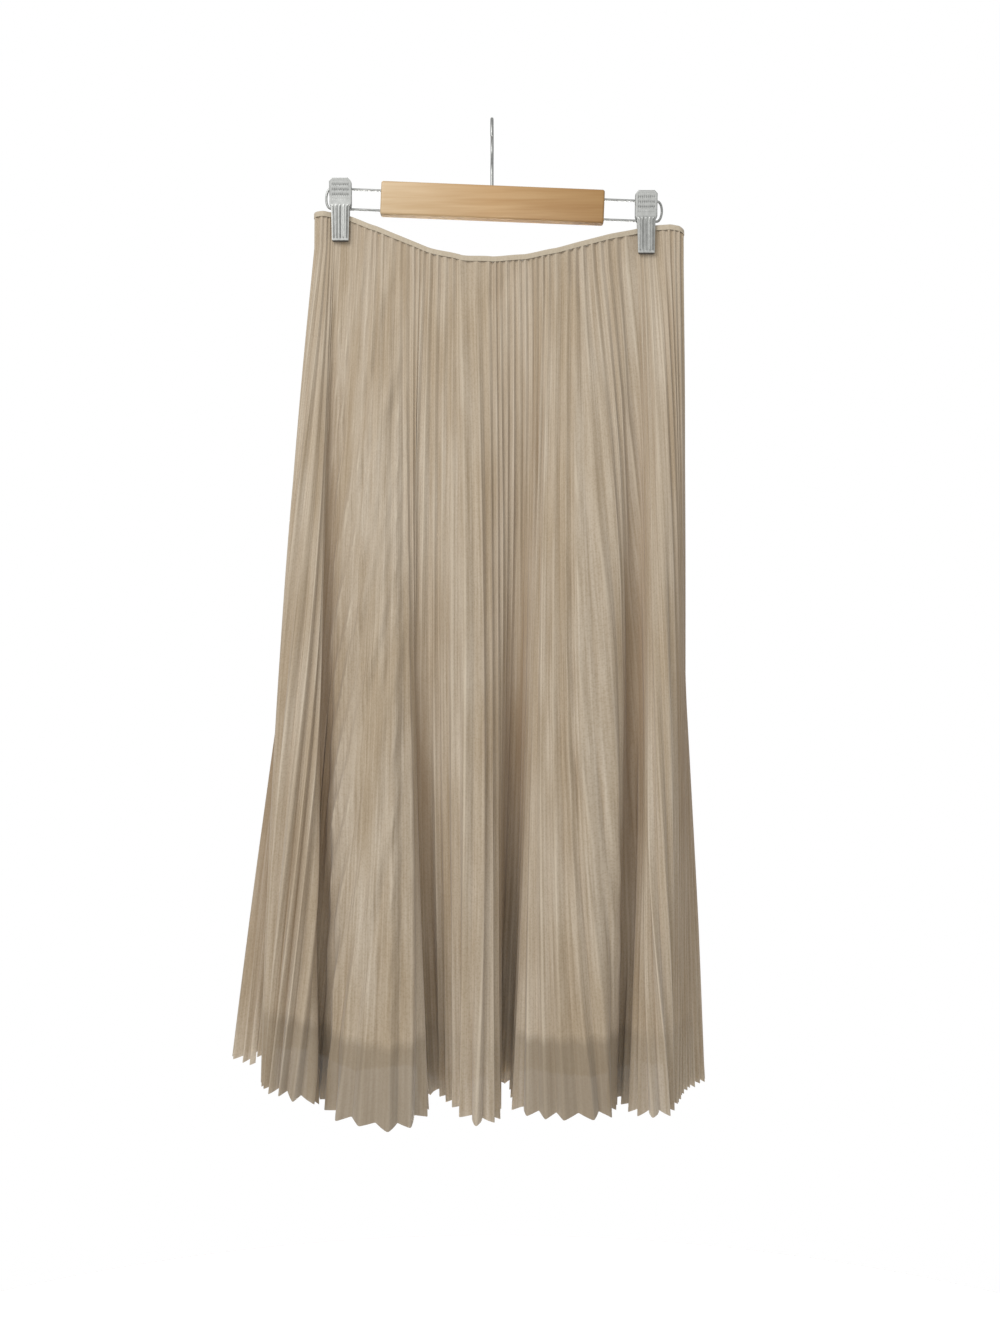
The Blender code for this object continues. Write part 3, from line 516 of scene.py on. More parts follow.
def pleat_wave(turns, share):
    """1 on a ridge, -1 in a valley: a soft wave at the waist, a zigzag at the hem."""
    soft = np.cos(2 * math.pi * turns)
    blend = PRESSED_AT_WAIST + (1 - PRESSED_AT_WAIST) * share
    return soft * (1 - blend) + zigzag(soft, PLEAT_SHARPNESS) * blend


def wander(rng, count, smoothing):
    """A smooth random list of about unit size."""
    raw = rng.normal(size=count + 6 * smoothing)
    window = np.hanning(2 * smoothing + 1)
    window /= np.sqrt((window**2).sum())
    return np.convolve(raw, window, mode="same")[3 * smoothing : 3 * smoothing + count]


print("samples in one pleat:", len(PLEAT_SAMPLES))

# %% [markdown]
# ## The tulle panels
#
# Both panels come from one function: rows of points from waist to hem, each row moved in and
# out by the pleats, by the gathers under the tape and, in front, by the drag lines.

# %% Tulle panels
# rows of x in mm and a share: how strongly the net is painted with the shade of the skirt's inside
# where no lining shows, and where the clips pull the pleats
NET_ALONE = ((-240, 0), (-205, 0.6), (-150, 1), (-70, 1), (-45, 0.2), (8, 0.2), (35, 1),
             (115, 1), (140, 0.4), (190, 0.3))
PULLED = ((-158, 0), (-142, 0.85), (-104, 0.8), (-82, 0.2), (-70, 0), (60, 0), (80, 0.3),
          (110, 0.3), (125, 0))
# rows of x and how far the front's hem is drawn up, both in mm
HEM_RAISED = ((-205, 10), (-160, 10), (-140, 5), (-60, 4), (-40, 1), (10, 1), (25, 5), (105, 5),
              (120, 1), (180, 0))
PULL_ANGLE = math.radians(13.0)
PULL_SPACING = 12.0 * MM
PULL_SHARPNESS = 0.96
PULL_DEPTH = 1.6
SEAM_TURN = 0.25  # a seam lies a quarter of a pleat past a ridge
DEPTH_VARIES = 0.14
DEPTH_LIMITS = (0.2, 1.12)
LEANS = (0.25, 0.32, 0.12)  # how far a pleat strays sideways at waist, middle and hem
# where pleats swell or gather: random list, share of the way down, how widely, how much
SWELLS = ((1, 0.3, 0.16, 0.38), (2, 0.65, 0.16, 0.38), (7, 0.0, 0.05, 0.75))
GENTLE_AT_WAIST = 0.56
SHUT_IN_FOLDS = 0.85
HEM_UNEVEN = 0.8 * MM


def pulled_wave(points):
    """Fine slanting ripples, as the clip's pull turns the pleats towards itself."""
    lean = np.where(points[:, 0] < 0, PULL_ANGLE, -0.6 * PULL_ANGLE)
    across = points[:, 0] * np.cos(lean) - points[:, 2] * np.sin(lean)
    wobble = 1.6 * np.sin(across / (17 * MM)) + 1.1 * np.sin(across / (41 * MM) + 1)
    strength = 0.75 + 0.25 * np.sin(across / (13 * MM) + points[:, 2] / (60 * MM))
    soft = np.cos(2 * math.pi * across / PULL_SPACING + wobble)
    return strength * zigzag(soft, PULL_SHARPNESS)


def tulle_skin(name, start, end, pleats, seed):
    """One pleated tulle panel between two places round the hem."""
    front = start == 0.0
    rng = np.random.default_rng(seed)
    turns = np.array([i + t for i in range(pleats + 2) for t in PLEAT_SAMPLES])
    turns = turns[(turns > SEAM_TURN) & (turns < pleats + SEAM_TURN)]
    turns = np.concatenate([[SEAM_TURN], turns, [pleats + SEAM_TURN]])
    pitch = (end - start) / pleats
    known = np.arange(-1, pleats + 3)
    lists = [np.interp(turns, known, wander(rng, len(known), s)) for s in (1, 1, 1, 2, 2, 1, 1, 1)]
    lists[7] = np.abs(lists[7])
    edge = np.clip(np.minimum(turns - SEAM_TURN, pleats + SEAM_TURN - turns) / 1.5, 0, 1)
    leans = [size * lists[3 + i] * edge for i, size in enumerate(LEANS)]
    shares = np.linspace(0, 1, LEVELS_TULLE) ** 1.1
    levels, values = [], {"ridge": [], "sunken": [], "net_alone": []}
    for share in shares:
        lean = leans[0] * (1 - share) ** 2 + leans[1] * 4 * share * (1 - share) + leans[2] * share
        places = slid(start + (turns - SEAM_TURN + lean) * pitch, share)
        bell = 1.0
        for row, middle, width, size in SWELLS:
            bell = bell + size * lists[row] * math.exp(-(((share - middle) / width) ** 2))
        gentle = GENTLE_AT_WAIST + (1 - GENTLE_AT_WAIST) * share
        mean = mean_surface(places, share)
        hidden = sunken(mean, 1 if front else -1)
        swing = (1 + DEPTH_VARIES * lists[0]) * bell * gentle
        depth = pleat_half_depth(places, share) * np.clip(swing, *DEPTH_LIMITS)
        depth *= 1 - SHUT_IN_FOLDS * np.minimum(2 * hidden, 1) * (1 - share**2)
        pulled = front * by_x(PULLED, mean) * math.sin(math.pi * share) ** 0.8
        wave = pleat_wave(turns, share) * (1 - pulled) + pulled_wave(mean) * pulled * PULL_DEPTH
        points = moved(places, share, wave * depth + front * ripple_lift(mean))
        points[:, 2] -= (wave * HEM_POINT + lists[6] * HEM_UNEVEN) * share**8
        points[:, 2] += front * by_x(HEM_RAISED, points) * MM * share**4
        levels.append(points)
        # values for the finish: ridges for a painted highlight, the fold recess for painted shade,
        # and the unlined hem for the painted shade of the skirt's inside
        below = np.clip((share - LINING_END + 0.002) / 0.004, 0, 1)
        values["ridge"].append(wave)
        values["sunken"].append(hidden**1.4 * min(1, 1.3 * (1 - share)))
        values["net_alone"].append(below * front * by_x(NET_ALONE, points))
    leg = np.hypot(pitch / 2, 2 * PLEAT_HALF_DEPTH_HEM)
    across = turns * 2 * leg
    down = shares * np.linalg.norm(levels[-1] - levels[0], axis=1).mean()
    return cloth_sheet(name, levels, across, down, values), (2 * leg * pleats, float(down[-1]))


tulle_front, tulle_front_cut = tulle_skin("tulle_front_skin", 0.0, RIGHT_SEAM, PLEATS_FRONT, 11)
tulle_back, tulle_back_cut = tulle_skin("tulle_back_skin", RIGHT_SEAM, AROUND, PLEATS_BACK, 12)
for piece, cut in ((tulle_front, tulle_front_cut), (tulle_back, tulle_back_cut)):
    print(piece.name, len(piece.data.polygons) * 2, "triangles, cut", [round(c, 3) for c in cut])

# %% [markdown]
# ## The lining
#
# Under the net hangs a plain lining that ends a little above the hem.  It is what makes the
# upper skirt look solid.  Where it stops, the see-through tulle is painted darker with the
# shade of the skirt's inside.


# %% Lining panels
def lining_skin(name, start, end, columns):
    places = np.linspace(start, end, columns)
    walls = TULLE_WALL / 2 + LINING_WALL / 2 + LINING_CLEARANCE
    shares = np.linspace(0, LINING_END, 40)
    levels = []
    for share in shares:
        ease = LINING_EASE * share + LINING_SLACK * 4 * share * (1 - share)
        inside = pleat_half_depth(places, share) + walls + ease
        levels.append(moved(places, share, -inside))
    across = places - start
    down = shares * np.linalg.norm(levels[-1] - levels[0], axis=1).mean() / LINING_END
    piece = cloth_sheet(name, levels, across, down, {})
    return piece, (float(across[-1]), float(down[-1]))


lining_front, lining_front_cut = lining_skin("lining_front_skin", 0.0, RIGHT_SEAM, 420)
lining_back, lining_back_cut = lining_skin("lining_back_skin", RIGHT_SEAM, AROUND, 320)
for piece, cut in ((lining_front, lining_front_cut), (lining_back, lining_back_cut)):
    print(piece.name, "cut", [round(c, 3) for c in cut])

# %% [markdown]
# ## The bound waist edge
#
# The gathered tops of the tulle and the lining are closed in a narrow folded tape, a grid
# laid up the outside, over the edge and down the inside, then joined end to end.

# %% Waist tape
BAND_COLUMNS = 720
BAND_ROWS = 11


def waist_tape():
    along = np.linspace(0, WAIST_LENGTH[-1], BAND_COLUMNS + 1)
    x, y = (np.interp(along, WAIST_LENGTH, c) for c in WAIST_LOOP.T)
    ahead, behind = (np.mod(along + step, WAIST_LENGTH[-1]) for step in (1.5 * MM, -1.5 * MM))
    heading_x, heading_y = (
        np.interp(ahead, WAIST_LENGTH, c) - np.interp(behind, WAIST_LENGTH, c)
        for c in WAIST_LOOP.T
    )
    size = np.hypot(heading_x, heading_y)
    normal_x, normal_y = heading_y / size, -heading_x / size
    top = waist_edge(x) - back_sag(y)
    levels = []
    for turn in np.linspace(0, math.pi, BAND_ROWS):
        shift = BINDING_WALL / 2 * math.cos(turn)
        fall = BINDING_HEIGHT * (1 - math.sin(turn) ** 0.25)
        z = top - fall + BINDING_WALL / 4 * math.sin(turn) - 0.4 * MM
        levels.append(np.column_stack([x + normal_x * shift, y + normal_y * shift, z]))
    down = np.linspace(0, 2 * BINDING_HEIGHT, BAND_ROWS)
    piece = cloth_sheet("waist_tape", levels, along, down, {})
    bm = bmesh.new()
    bm.from_mesh(piece.data)
    bmesh.ops.reverse_faces(bm, faces=bm.faces)
    bmesh.ops.remove_doubles(bm, verts=bm.verts, dist=0.00002)
    bm.to_mesh(piece.data)
    bm.free()
    return piece


waist_band = waist_tape()
print("waist tape faces:", len(waist_band.data.polygons))

# %% [markdown]
# ## The wooden bar
#
# The hanger's bar is a flat strip of light wood.  A cube scaled to the strip's size and
# bevelled with several segments gives the rounded edges that a sander leaves.

# %% Bar
HANGER_TILT = math.radians(2.3)
BAR_CENTRE = Vector((0.5, 0.0, -77.6)) * MM
BAR_SIZE = Vector((212.0, 12.0, 32.0)) * MM
BAR_ROUNDING = 2.2 * MM


def placed(name, mesh, smooth_angle):
    """An object for a mesh, smooth except across sharp edges."""
    piece = bpy.data.objects.new(name, mesh)
    bpy.context.scene.collection.objects.link(piece)
    mesh.polygons.foreach_set("use_smooth", [True] * len(mesh.polygons))
    mesh.set_sharp_from_angle(angle=math.radians(smooth_angle))
    return piece


def new_piece(name, bm, smooth_angle=40):
    mesh = bpy.data.meshes.new(name)
    bm.to_mesh(mesh)
    bm.free()
    return placed(name, mesh, smooth_angle)


def wooden_bar():
    bm = bmesh.new()
    bmesh.ops.create_cube(bm, size=1.0)
    bmesh.ops.scale(bm, vec=BAR_SIZE, verts=bm.verts)
    bmesh.ops.bevel(
        bm, geom=bm.edges[:], offset=BAR_ROUNDING, segments=5, profile=0.5,
        affect="EDGES", material=-1,
    )
    turn = Matrix.Translation(BAR_CENTRE) @ Matrix.Rotation(HANGER_TILT, 4, "Y")
    bmesh.ops.transform(bm, matrix=turn, verts=bm.verts)
    return new_piece("wooden_bar", bm)


bar = wooden_bar()
print("bar faces:", len(bar.data.polygons))

# %% [markdown]
# ## The wires
#
# Hook and rails are round wire bent cold.  A curve with a round bevel draws a bent wire; its
# path is the same as the solids', with more points in the bends.

# %% Wire sizes and helper
RAIL_RADIUS = 1.1 * MM
RAIL_UPPER = 8.0 * MM
RAIL_LOWER = -11.0 * MM
RAIL_REACH = {"left": 158.0 * MM, "right": 161.0 * MM}
RAIL_BEND = 4.5 * MM
RAIL_IN_BAR = 12.0 * MM
HOOK_RADIUS = 1.5 * MM
HOOK_INNER_RADIUS = 18.0 * MM
HOOK_IN_BAR = 16.0 * MM
HOOK_NECK_STRAIGHT = 7.7 * MM
HOOK_NECK_RISE = 8.0 * MM
HOOK_NECK_LEAD = 9.0 * MM
HOOK_NECK_END = math.radians(-62.0)
HOOK_TIP_ANGLE = math.radians(-6.0)


def tilted(point):
    return Matrix.Rotation(HANGER_TILT, 4, "Y") @ Vector(point) + BAR_CENTRE


def wire(name, points, radius):
    """A round wire along points, made a mesh so that it sits in its own place."""
    curve = bpy.data.curves.new(name + "_path", "CURVE")
    curve.dimensions = "3D"
    curve.bevel_depth = radius
    curve.bevel_resolution = 5
    curve.use_fill_caps = True
    spline = curve.splines.new("POLY")
    spline.points.add(len(points) - 1)
    for knot, point in zip(spline.points, points):
        knot.co = (*point, 1.0)
    path = bpy.data.objects.new(name + "_path", curve)
    bpy.context.scene.collection.objects.link(path)
    depsgraph = bpy.context.evaluated_depsgraph_get()
    mesh = bpy.data.meshes.new_from_object(path.evaluated_get(depsgraph))
    mesh.name = name
    bpy.data.objects.remove(path)
    return placed(name, mesh, 50)


print("wires in mm: rail", round(2000 * RAIL_RADIUS, 1), "hook", round(2000 * HOOK_RADIUS, 1))

# %% [markdown]
# ## Hook and rails
#
# Each rail leaves the bar, turns back round a half circle and returns, so one bent wire
# carries the clip and lets it slide.  The hook rises out of the bar and bends into a ring,
# turned square to the bar as a clothes rod needs it.


# %% Hook and rails
def rail_wire(side, sign):
    bend = (RAIL_UPPER - RAIL_LOWER) / 2
    middle = (RAIL_UPPER + RAIL_LOWER) / 2
    inner = BAR_SIZE.x / 2 - RAIL_IN_BAR
    straight = RAIL_REACH[side] - RAIL_BEND
    path = [(inner, RAIL_UPPER)]
    for angle in np.linspace(math.pi / 2, -math.pi / 2, 33):
        path.append((straight + RAIL_BEND * math.cos(angle), middle + bend * math.sin(angle)))
    path.append((inner, RAIL_LOWER))
    return wire(f"rail_wire_{side}", [tilted((sign * x, 0, z)) for x, z in path], RAIL_RADIUS)


def hook_wire():
    ring = HOOK_INNER_RADIUS + HOOK_RADIUS
    centre = -HOOK_INNER_RADIUS
    top = BAR_CENTRE.z + BAR_SIZE.z / 2
    start = Vector((0.0, top + HOOK_NECK_STRAIGHT))
    heading = Vector((-math.sin(HOOK_NECK_END), math.cos(HOOK_NECK_END)))
    meet = Vector((ring * math.cos(HOOK_NECK_END), centre + ring * math.sin(HOOK_NECK_END)))
    rise = start + Vector((0.0, HOOK_NECK_RISE))
    lead = meet - heading * HOOK_NECK_LEAD
    path = [(0.0, top - HOOK_IN_BAR), (start.x, start.y)]
    for f in np.linspace(0, 1, 14)[1:-1]:
        g = 1 - f
        point = start * g**3 + rise * 3 * f * g * g + lead * 3 * f * f * g + meet * f**3
        path.append((point.x, point.y))
    for angle in np.linspace(HOOK_NECK_END, math.pi - HOOK_TIP_ANGLE, 56):
        path.append((ring * math.cos(angle), centre + ring * math.sin(angle)))
    return wire("hook_wire", [(0.0, y, z) for y, z in path], HOOK_RADIUS)


hook = hook_wire()
rails = {"left": rail_wire("left", -1), "right": rail_wire("right", 1)}
print("hook faces:", len(hook.data.polygons))

# %% [markdown]
# ## The clips
#
# A hanger clip is two pressed steel sheets on a strip spring.  The front one has ribs down
# its jaw, which stiffen it, small dimples on its grip, and sides bent back round the wires.
# It is laid out as a flat grid, as sheet metal is: the middle columns are the face, the outer
# ones the bent sides.

# %% Clip sizes
CLIP_SHEET = 0.9 * MM
CLIP_TOP = 15.0 * MM
CLIP_BOTTOM = -43.0 * MM
CLIP_SHOULDER = -8.0 * MM
CLIP_CORNER = 3.0 * MM
GRIP_WIDTH = 20.0 * MM
JAW_WIDTH = 16.4 * MM
JAW_TIP_WIDTH = 15.0 * MM
FLANGE_BOTTOM = -13.9 * MM
FLANGE_TOP = 12.5 * MM
CLIP_SIDE_DEPTH = ((12.0, 15.0), (10.6, 8.0), (8.6, -1.0), (8.0, -8.0), (8.0, -43.0))
RIB_HEIGHT = 0.75 * MM
DIMPLE_DEPTH = 0.5 * MM


def rail_height(side):
    return BAR_CENTRE.z - math.tan(HANGER_TILT) * (CLIP_X[side] - BAR_CENTRE.x)


def plate_half_width(height):
    neck = CLIP_SHOULDER - CLIP_CORNER
    heights = [CLIP_BOTTOM, neck, CLIP_SHOULDER, CLIP_TOP - CLIP_CORNER, CLIP_TOP]
    widths = [JAW_TIP_WIDTH, JAW_WIDTH, GRIP_WIDTH, GRIP_WIDTH, GRIP_WIDTH - 2 * CLIP_CORNER]
    return np.interp(height, heights, widths) / 2


def pressed_relief(across, height):
    """How far the die pushes the front sheet out: three ribs below, dimples above."""
    relief = 0.0
    if abs(across) < 0.75:
        fade_in = np.clip((-9 * MM - height) / (2 * MM), 0, 1)
        fade_out = np.clip((height - CLIP_BOTTOM - 2 * MM) / MM, 0, 1)
        rib = max(0.0, math.cos(2 * math.pi * 2.5 * across / 0.8)) ** 2
        relief += RIB_HEIGHT * fade_in * fade_out * rib
    if abs(across) < 0.62 and -4 * MM < height < 13 * MM:
        dimple = math.cos(2 * math.pi * across * 3.4) ** 4
        relief -= DIMPLE_DEPTH * dimple * math.cos(math.pi * (height / MM - 4.5) / 4.5) ** 4
    return relief


print("clip height:", round((CLIP_TOP - CLIP_BOTTOM) * 1000), "mm")

# %% [markdown]
# ## Pressing the sheets
#
# Each point of the flat grid is moved to its place on the pressed sheet, and a Solidify
# modifier then gives the sheet its steel wall.


# %% Clip sheets
def clip_sheet(name, side, sign, ribs, width_scale):
    """A pressed clip sheet, its face towards sign along Y."""
    place = Vector((CLIP_X[side], 0.0, rail_height(side)))
    columns, rows = 61, 97
    bm = bmesh.new()
    bmesh.ops.create_grid(bm, x_segments=columns - 1, y_segments=rows - 1, size=1.0)
    depths = [d * MM for d, _ in CLIP_SIDE_DEPTH][::-1]
    heights = [h * MM for _, h in CLIP_SIDE_DEPTH][::-1]
    for vert in bm.verts:
        across, up = vert.co.x, (vert.co.y + 1) / 2
        height = CLIP_BOTTOM + (CLIP_TOP - CLIP_BOTTOM) * up
        half = float(plate_half_width(height)) * width_scale
        depth = float(np.interp(height, heights, depths)) - CLIP_SHEET / 2
        face = min(abs(across) / 0.8, 1.0)
        bend = max(abs(across) - 0.8, 0.0) / 0.2
        if ribs:
            depth += pressed_relief(across, height)
        flange = 7.0 * MM if FLANGE_BOTTOM < height < FLANGE_TOP and ribs else 1.1 * MM
        x = math.copysign(half * face, across)
        vert.co = place + Vector((x, sign * (depth - flange * bend), height))
    if sign > 0:
        bmesh.ops.reverse_faces(bm, faces=bm.faces)
    piece = new_piece(name, bm, 35)
    wall = piece.modifiers.new("steel sheet", "SOLIDIFY")
    wall.thickness = CLIP_SHEET
    wall.offset = 0.0
    return piece


clip_fronts = {s: clip_sheet(f"clip_front_sheet_{s}", s, -1, True, 1.0) for s in CLIP_X}
clip_backs = {s: clip_sheet(f"clip_back_sheet_{s}", s, 1, False, 0.9) for s in CLIP_X}
print("clip sheets:", len(clip_fronts) + len(clip_backs))

# %% [markdown]
# ## Finishes
#
# Each finish starts from what the real material is and how its surface was made.
#
# ### Pleated tulle
#
# Polyester tulle is a net of very fine thread, matt and slightly see-through.  Its colour has
# painted shade between the folds, warmer and darker, and a painted paler highlight on some
# ridges.  The net's holes are under a millimetre; they are drawn 2 mm wide, because finer
# ones would not show.


# %% Tulle finish
def build_tulle():
    made, tree, shader = finish(
        "pleated_polyester_tulle", Roughness=0.8, Sheen_Weight=0.2, Sheen_Roughness=0.5,
        Alpha=0.97,
    )
    place = node(tree, "ShaderNodeTexCoord")
    # long fibrous streaks: 3 mm across the cloth and 110 mm down it
    along = node(tree, "ShaderNodeMapping", {"Vector": (place, "UV"), "Scale": (330, 7, 1)})
    streak = node(tree, "ShaderNodeTexNoise", {"Vector": (along, "Vector"), "Detail": 4.0,
                                               "Scale": 1.0, "Roughness": 0.6})
    body = node(tree, "ShaderNodeValToRGB", {"Fac": (streak, "Fac")},
                stops=((0.28, "ad9c85"), (0.5, "c4b5a0"), (0.72, "d6c9b6")))
    # wide soft patches where the net lies in one layer or two: 45 mm by 160 mm
    wide = node(tree, "ShaderNodeMapping", {"Vector": (place, "UV"), "Scale": (22, 6, 1)})
    patch = node(tree, "ShaderNodeTexNoise", {"Vector": (wide, "Vector"), "Scale": 1.0})
    patches = node(tree, "ShaderNodeValToRGB", {"Fac": (patch, "Fac")},
                   stops=((0.35, "ece6dc"), (0.65, "ffffff")))
    # the net itself, 2 mm to a hole
    mesh_map = node(tree, "ShaderNodeMapping", {"Vector": (place, "UV"), "Scale": (500, 500, 1)})
    holes = node(tree, "ShaderNodeTexVoronoi", {"Vector": (mesh_map, "Vector"), "Scale": 1.0})
    net = node(tree, "ShaderNodeValToRGB", {"Fac": (holes, "Distance")},
               stops=((0.1, "f0ede8"), (0.6, "ffffff")))
    laid = (body, "Color")
    for layer in (patches, net):
        both = node(tree, "ShaderNodeMix", {"Factor": 1.0, 6: laid, 7: (layer, "Color")},
                    data_type="RGBA", blend_type="MULTIPLY")
        laid = (both, 2)
    ridge, deep, alone = (
        node(tree, "ShaderNodeAttribute", attribute_name=name, attribute_type="GEOMETRY")
        for name in ("ridge", "sunken", "net_alone")
    )
    # painted highlight on the pleat ridges, stronger where the patches are light
    crest = node(tree, "ShaderNodeMapRange", {"Value": (ridge, "Fac"), "From Min": 0.7})
    painted_highlight_strength = node(tree, "ShaderNodeMapRange", {"Value": (patch, "Fac"), "From Min": 0.4,
                                               "From Max": 0.66, "To Min": 0.1, "To Max": 0.6})
    lift = node(tree, "ShaderNodeMath", {0: (crest, "Result"), 1: (painted_highlight_strength, "Result")},
                operation="MULTIPLY")
    # below the lining's hem the net is painted darker with the shade of the skirt's inside
    painted_inside_shade = node(tree, "ShaderNodeMapRange", {"Value": (alone, "Fac"), "To Max": 0.62})
    # painted highlight on the ridges, then painted shade, warmer and darker, between the folds,
    # then the painted shade of the skirt's inside below the lining
    for amount, output, tint in (
        (lift, "Value", "ddcfb8"), (deep, "Fac", "8f7252"), (painted_inside_shade, "Result", "8d7e69"),
    ):
        tinted = node(tree, "ShaderNodeMix", {"Factor": (amount, output), 6: laid,
                                              7: colour(tint)}, data_type="RGBA")
        laid = (tinted, 2)
    tree.links.new(tinted.outputs[2], shader.inputs["Base Color"])
    bump = node(tree, "ShaderNodeBump", {"Height": (streak, "Fac"), "Strength": 0.35,
                                         "Distance": 0.0012})
    tree.links.new(bump.outputs["Normal"], shader.inputs["Normal"])
    return made


TULLE = build_tulle()
print(TULLE.name, len(TULLE.node_tree.nodes), "nodes")

# %% [markdown]
# ### Plain fine finishes
#
# Lining, tape, pads and plated steel have one tone that a fine noise varies a little, so one
# function makes all four from the noise's size and its two colours.


# %% A finish with a fine noise
def noisy_finish(name, read, grains, dark, light, **values):
    """A finish whose tone wavers; grains is how many to a metre along each axis."""
    made, tree, shader = finish(name, **values)
    place = node(tree, "ShaderNodeTexCoord")
    grid = node(tree, "ShaderNodeMapping", {"Vector": (place, read), "Scale": grains})
    noise = node(tree, "ShaderNodeTexNoise", {"Vector": (grid, "Vector"), "Scale": 1.0})
    tone = node(tree, "ShaderNodeValToRGB", {"Fac": (noise, "Fac")},
                stops=((0.3, dark), (0.7, light)))
    tree.links.new(tone.outputs["Color"], shader.inputs["Base Color"])
    return made, tree, shader, noise


print("fine finishes ready")

# %% [markdown]
# ### Woven polyester lining and folded tape
#
# The lining is a plain weave, smoother and a little shinier than the net, with faint slubs
# 1 mm across and 30 mm long where a thread is thicker.  The tape is a tight flat weave with
# threads 2 mm apart, paler than the net, because it is one thick layer that lets no light
# through.

# %% Lining and tape finish
LINING = noisy_finish("woven_polyester_lining", "UV", (900, 30, 1), "c0ae94", "cbbaa1",
                      Roughness=0.65, Sheen_Weight=0.15)[0]
TAPE = noisy_finish("folded_binding_tape", "UV", (500, 900, 1), "bcae97", "c7baa4",
                    Roughness=0.75, Sheen_Weight=0.2)[0]
print(LINING.name, TAPE.name)

# %% [markdown]
# ### Lacquered light wood
#
# The bar is pale wood under a satin lacquer.  Its grain runs along the bar in fine soft
# lines.  Light falling from the left is painted into its colour: paler at the left end,
# darker at the right.


# %% Wood finish
def build_wood():
    made, tree, shader = finish(
        "lacquered_light_wood", Roughness=0.45, Coat_Weight=0.2, Coat_Roughness=0.25,
    )
    place = node(tree, "ShaderNodeTexCoord")
    # grain lines 3 mm apart, drawn out 25 times along the bar
    along = node(tree, "ShaderNodeMapping", {"Vector": (place, "Object"), "Scale": (12, 60, 300)})
    rings = node(tree, "ShaderNodeTexNoise", {"Vector": (along, "Vector"), "Detail": 3.0,
                                              "Scale": 1.0})
    grain = node(tree, "ShaderNodeValToRGB", {"Fac": (rings, "Fac")},
                 stops=((0.3, "ece2d2"), (0.7, "ffffff")))
    # the wood's tone with painted light: paler at the left end and darker at the right
    apart = node(tree, "ShaderNodeSeparateXYZ", {"Vector": (place, "Object")})
    end = node(tree, "ShaderNodeMapRange", {"Value": (apart, "X"), "From Min": -0.106,
                                            "From Max": 0.106})
    wood_tone_with_painted_falloff = node(tree, "ShaderNodeValToRGB", {"Fac": (end, "Result")},
                 stops=((0.0, "dac09a"), (0.5, "cda878"), (1.0, "b28a56")))
    body = node(tree, "ShaderNodeMix", {"Factor": 1.0, 6: (wood_tone_with_painted_falloff, "Color"), 7: (grain, "Color")},
                data_type="RGBA", blend_type="MULTIPLY")
    tree.links.new(body.outputs[2], shader.inputs["Base Color"])
    return made


WOOD = build_wood()
print(WOOD.name)

# %% [markdown]
# ### Nickel-plated steel and soft pads
#
# Wires and clips are plated with nickel over drawn or pressed steel: a grey, slightly yellow
# metal whose fine surface blurs what it mirrors.  The pads that hold the cloth are moulded
# soft plastic, dark and matt, with a fine grain about 1.5 mm wide from the mould.


# %% Steel and pad finish
def build_steel():
    made, tree, shader, haze = noisy_finish("nickel_plated_steel", "Object", (300, 300, 300),
                                            "a9aaa7", "bbbcb9", Metallic=1.0)
    rough = node(tree, "ShaderNodeMapRange", {"Value": (haze, "Fac"), "To Min": 0.4,
                                              "To Max": 0.52})
    tree.links.new(rough.outputs["Result"], shader.inputs["Roughness"])
    return made


STEEL = build_steel()
PAD = noisy_finish("soft_clip_pad", "Object", (700, 700, 700), "4a4540", "5b554f",
                   Roughness=0.6)[0]
print(STEEL.name, PAD.name)

# %% [markdown]
# ## Dress the pieces
#
# Every new piece takes a finish, rides on the one body and stands for its solid.  The pads
# and springs keep their solids, which have the right shape, and only take a finish.

# %% Assign, ride and replace
DRESSED = (
    (tulle_front, TULLE, "tulle", "tulle_front"),
    (tulle_back, TULLE, "tulle", "tulle_back"),
    (lining_front, LINING, "lining", "lining_front"),
    (lining_back, LINING, "lining", "lining_back"),
    (waist_band, TAPE, "binding", "waist_binding"),
    (bar, WOOD, "wood", "hanger_bar"),
    (hook, STEEL, "steel", "hanger_hook"),
    *((rails[side], STEEL, "steel", f"hanger_rail_{side}") for side in CLIP_X),
    *((clip_fronts[side], STEEL, "steel", f"clip_{side}_front") for side in CLIP_X),
    *((clip_backs[side], STEEL, "steel", f"clip_{side}_back") for side in CLIP_X),
)
for piece, material, slot, solid in DRESSED:
    piece.data.materials.clear()
    piece.data.materials.append(material)
    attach(piece, "root")
    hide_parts(solid)

for name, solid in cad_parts.items():
    material = PAD if "_pad_" in name else STEEL if "spring" in name else None
    if material:
        for holder in solid.material_slots:
            holder.material = material
print("dressed:", len(DRESSED))

# %% [markdown]
# ## Floor
#
# A pale floor lies well under the hem, small enough that it throws little light back up.

# %% Floor
FLOOR_Z = -1.6


def studio_floor():
    bm = bmesh.new()
    bmesh.ops.create_circle(bm, cap_ends=True, segments=96, radius=1.5)
    bmesh.ops.translate(bm, vec=(0, 0, FLOOR_Z), verts=bm.verts)
    piece = new_piece("studio_floor", bm)
    made, tree, shader = finish("pale_floor_paint", Roughness=0.9)
    shader.inputs["Base Color"].default_value = colour("fbfaf8")
    piece.data.materials.append(made)
    return piece


print("floor at", studio_floor().data.vertices[0].co.z, "m")

# %% [markdown]
# ## Light
#
# A large soft light from the upper left gives the folds their direction, a weaker one from
# the front reaches into them, and an even sky fills the shade.  The sky is white where the
# camera sees it and dimmer as a light, so that it doesn't wash out the cloth.

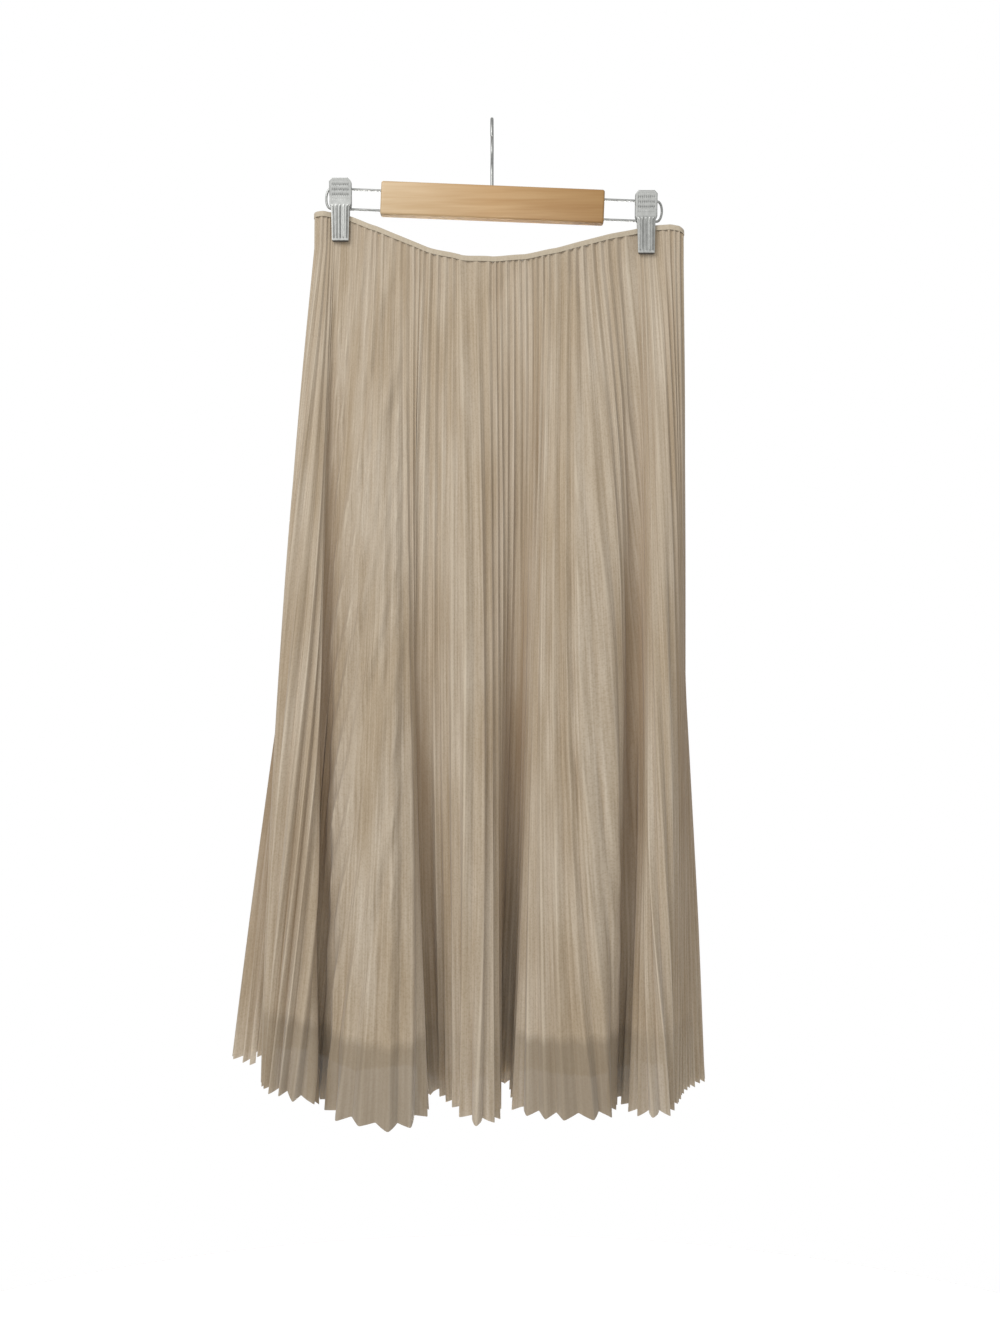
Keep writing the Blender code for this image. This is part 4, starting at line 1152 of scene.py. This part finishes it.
# %% Sky and lights
AMBIENT = 0.50


def soft_sky():
    world = bpy.data.worlds.new("soft_sky")
    bpy.context.scene.world = world
    world.use_nodes = True
    tree = world.node_tree
    seen = node(tree, "ShaderNodeLightPath")
    strength = node(tree, "ShaderNodeMapRange", {"Value": (seen, "Is Camera Ray"),
                                                 "To Min": AMBIENT, "To Max": 1.0})
    backdrop = tree.nodes["Background"]
    backdrop.inputs["Color"].default_value = (1.0, 1.0, 1.0, 1.0)
    tree.links.new(strength.outputs["Result"], backdrop.inputs["Strength"])


def soft_light(name, place, target, size, power, spread=180):
    lamp = bpy.data.lights.new(name, "AREA")
    lamp.shape = "SQUARE"
    lamp.size = size
    lamp.energy = power
    lamp.spread = math.radians(spread)
    holder = bpy.data.objects.new(name, lamp)
    bpy.context.scene.collection.objects.link(holder)
    holder.location = place
    holder.rotation_euler = (Vector(target) - Vector(place)).to_track_quat("-Z", "Y").to_euler()


soft_sky()
soft_light("key_light", (-1.15, -1.7, 1.15), (0.0, 0.0, -0.1), 1.1, 29.5)
soft_light("front_light", (0.02, -2.3, -0.2), (0.0, 0.0, -0.3), 0.5, 6.6)
soft_light("floor_light", (0.0, 1.5, 0.9), (0.0, 1.5, -1.6), 1.2, 70.0, 60)

# %% [markdown]
# ## Camera
#
# The camera stands level, square to the skirt, far enough off to show little perspective.
# Its lens is worked out from the height that the picture takes in at the skirt.

# %% Camera
CAMERA_DISTANCE = 1.5
FRAME_HEIGHT = 1333 * 0.95 * MM
camera_data = bpy.data.cameras.new("level_camera")
camera = bpy.data.objects.new("level_camera", camera_data)
bpy.context.scene.collection.objects.link(camera)
camera.location = (0.0076, -CAMERA_DISTANCE, -0.5175)
camera.rotation_euler = (math.radians(90), 0, 0)
camera_data.sensor_fit = "VERTICAL"
camera_data.sensor_height = 24.0
camera_data.lens = 24.0 * CAMERA_DISTANCE / FRAME_HEIGHT
bpy.context.scene.camera = camera
bpy.context.scene.view_settings.view_transform = "Standard"
print("lens:", round(camera_data.lens, 1), "mm")
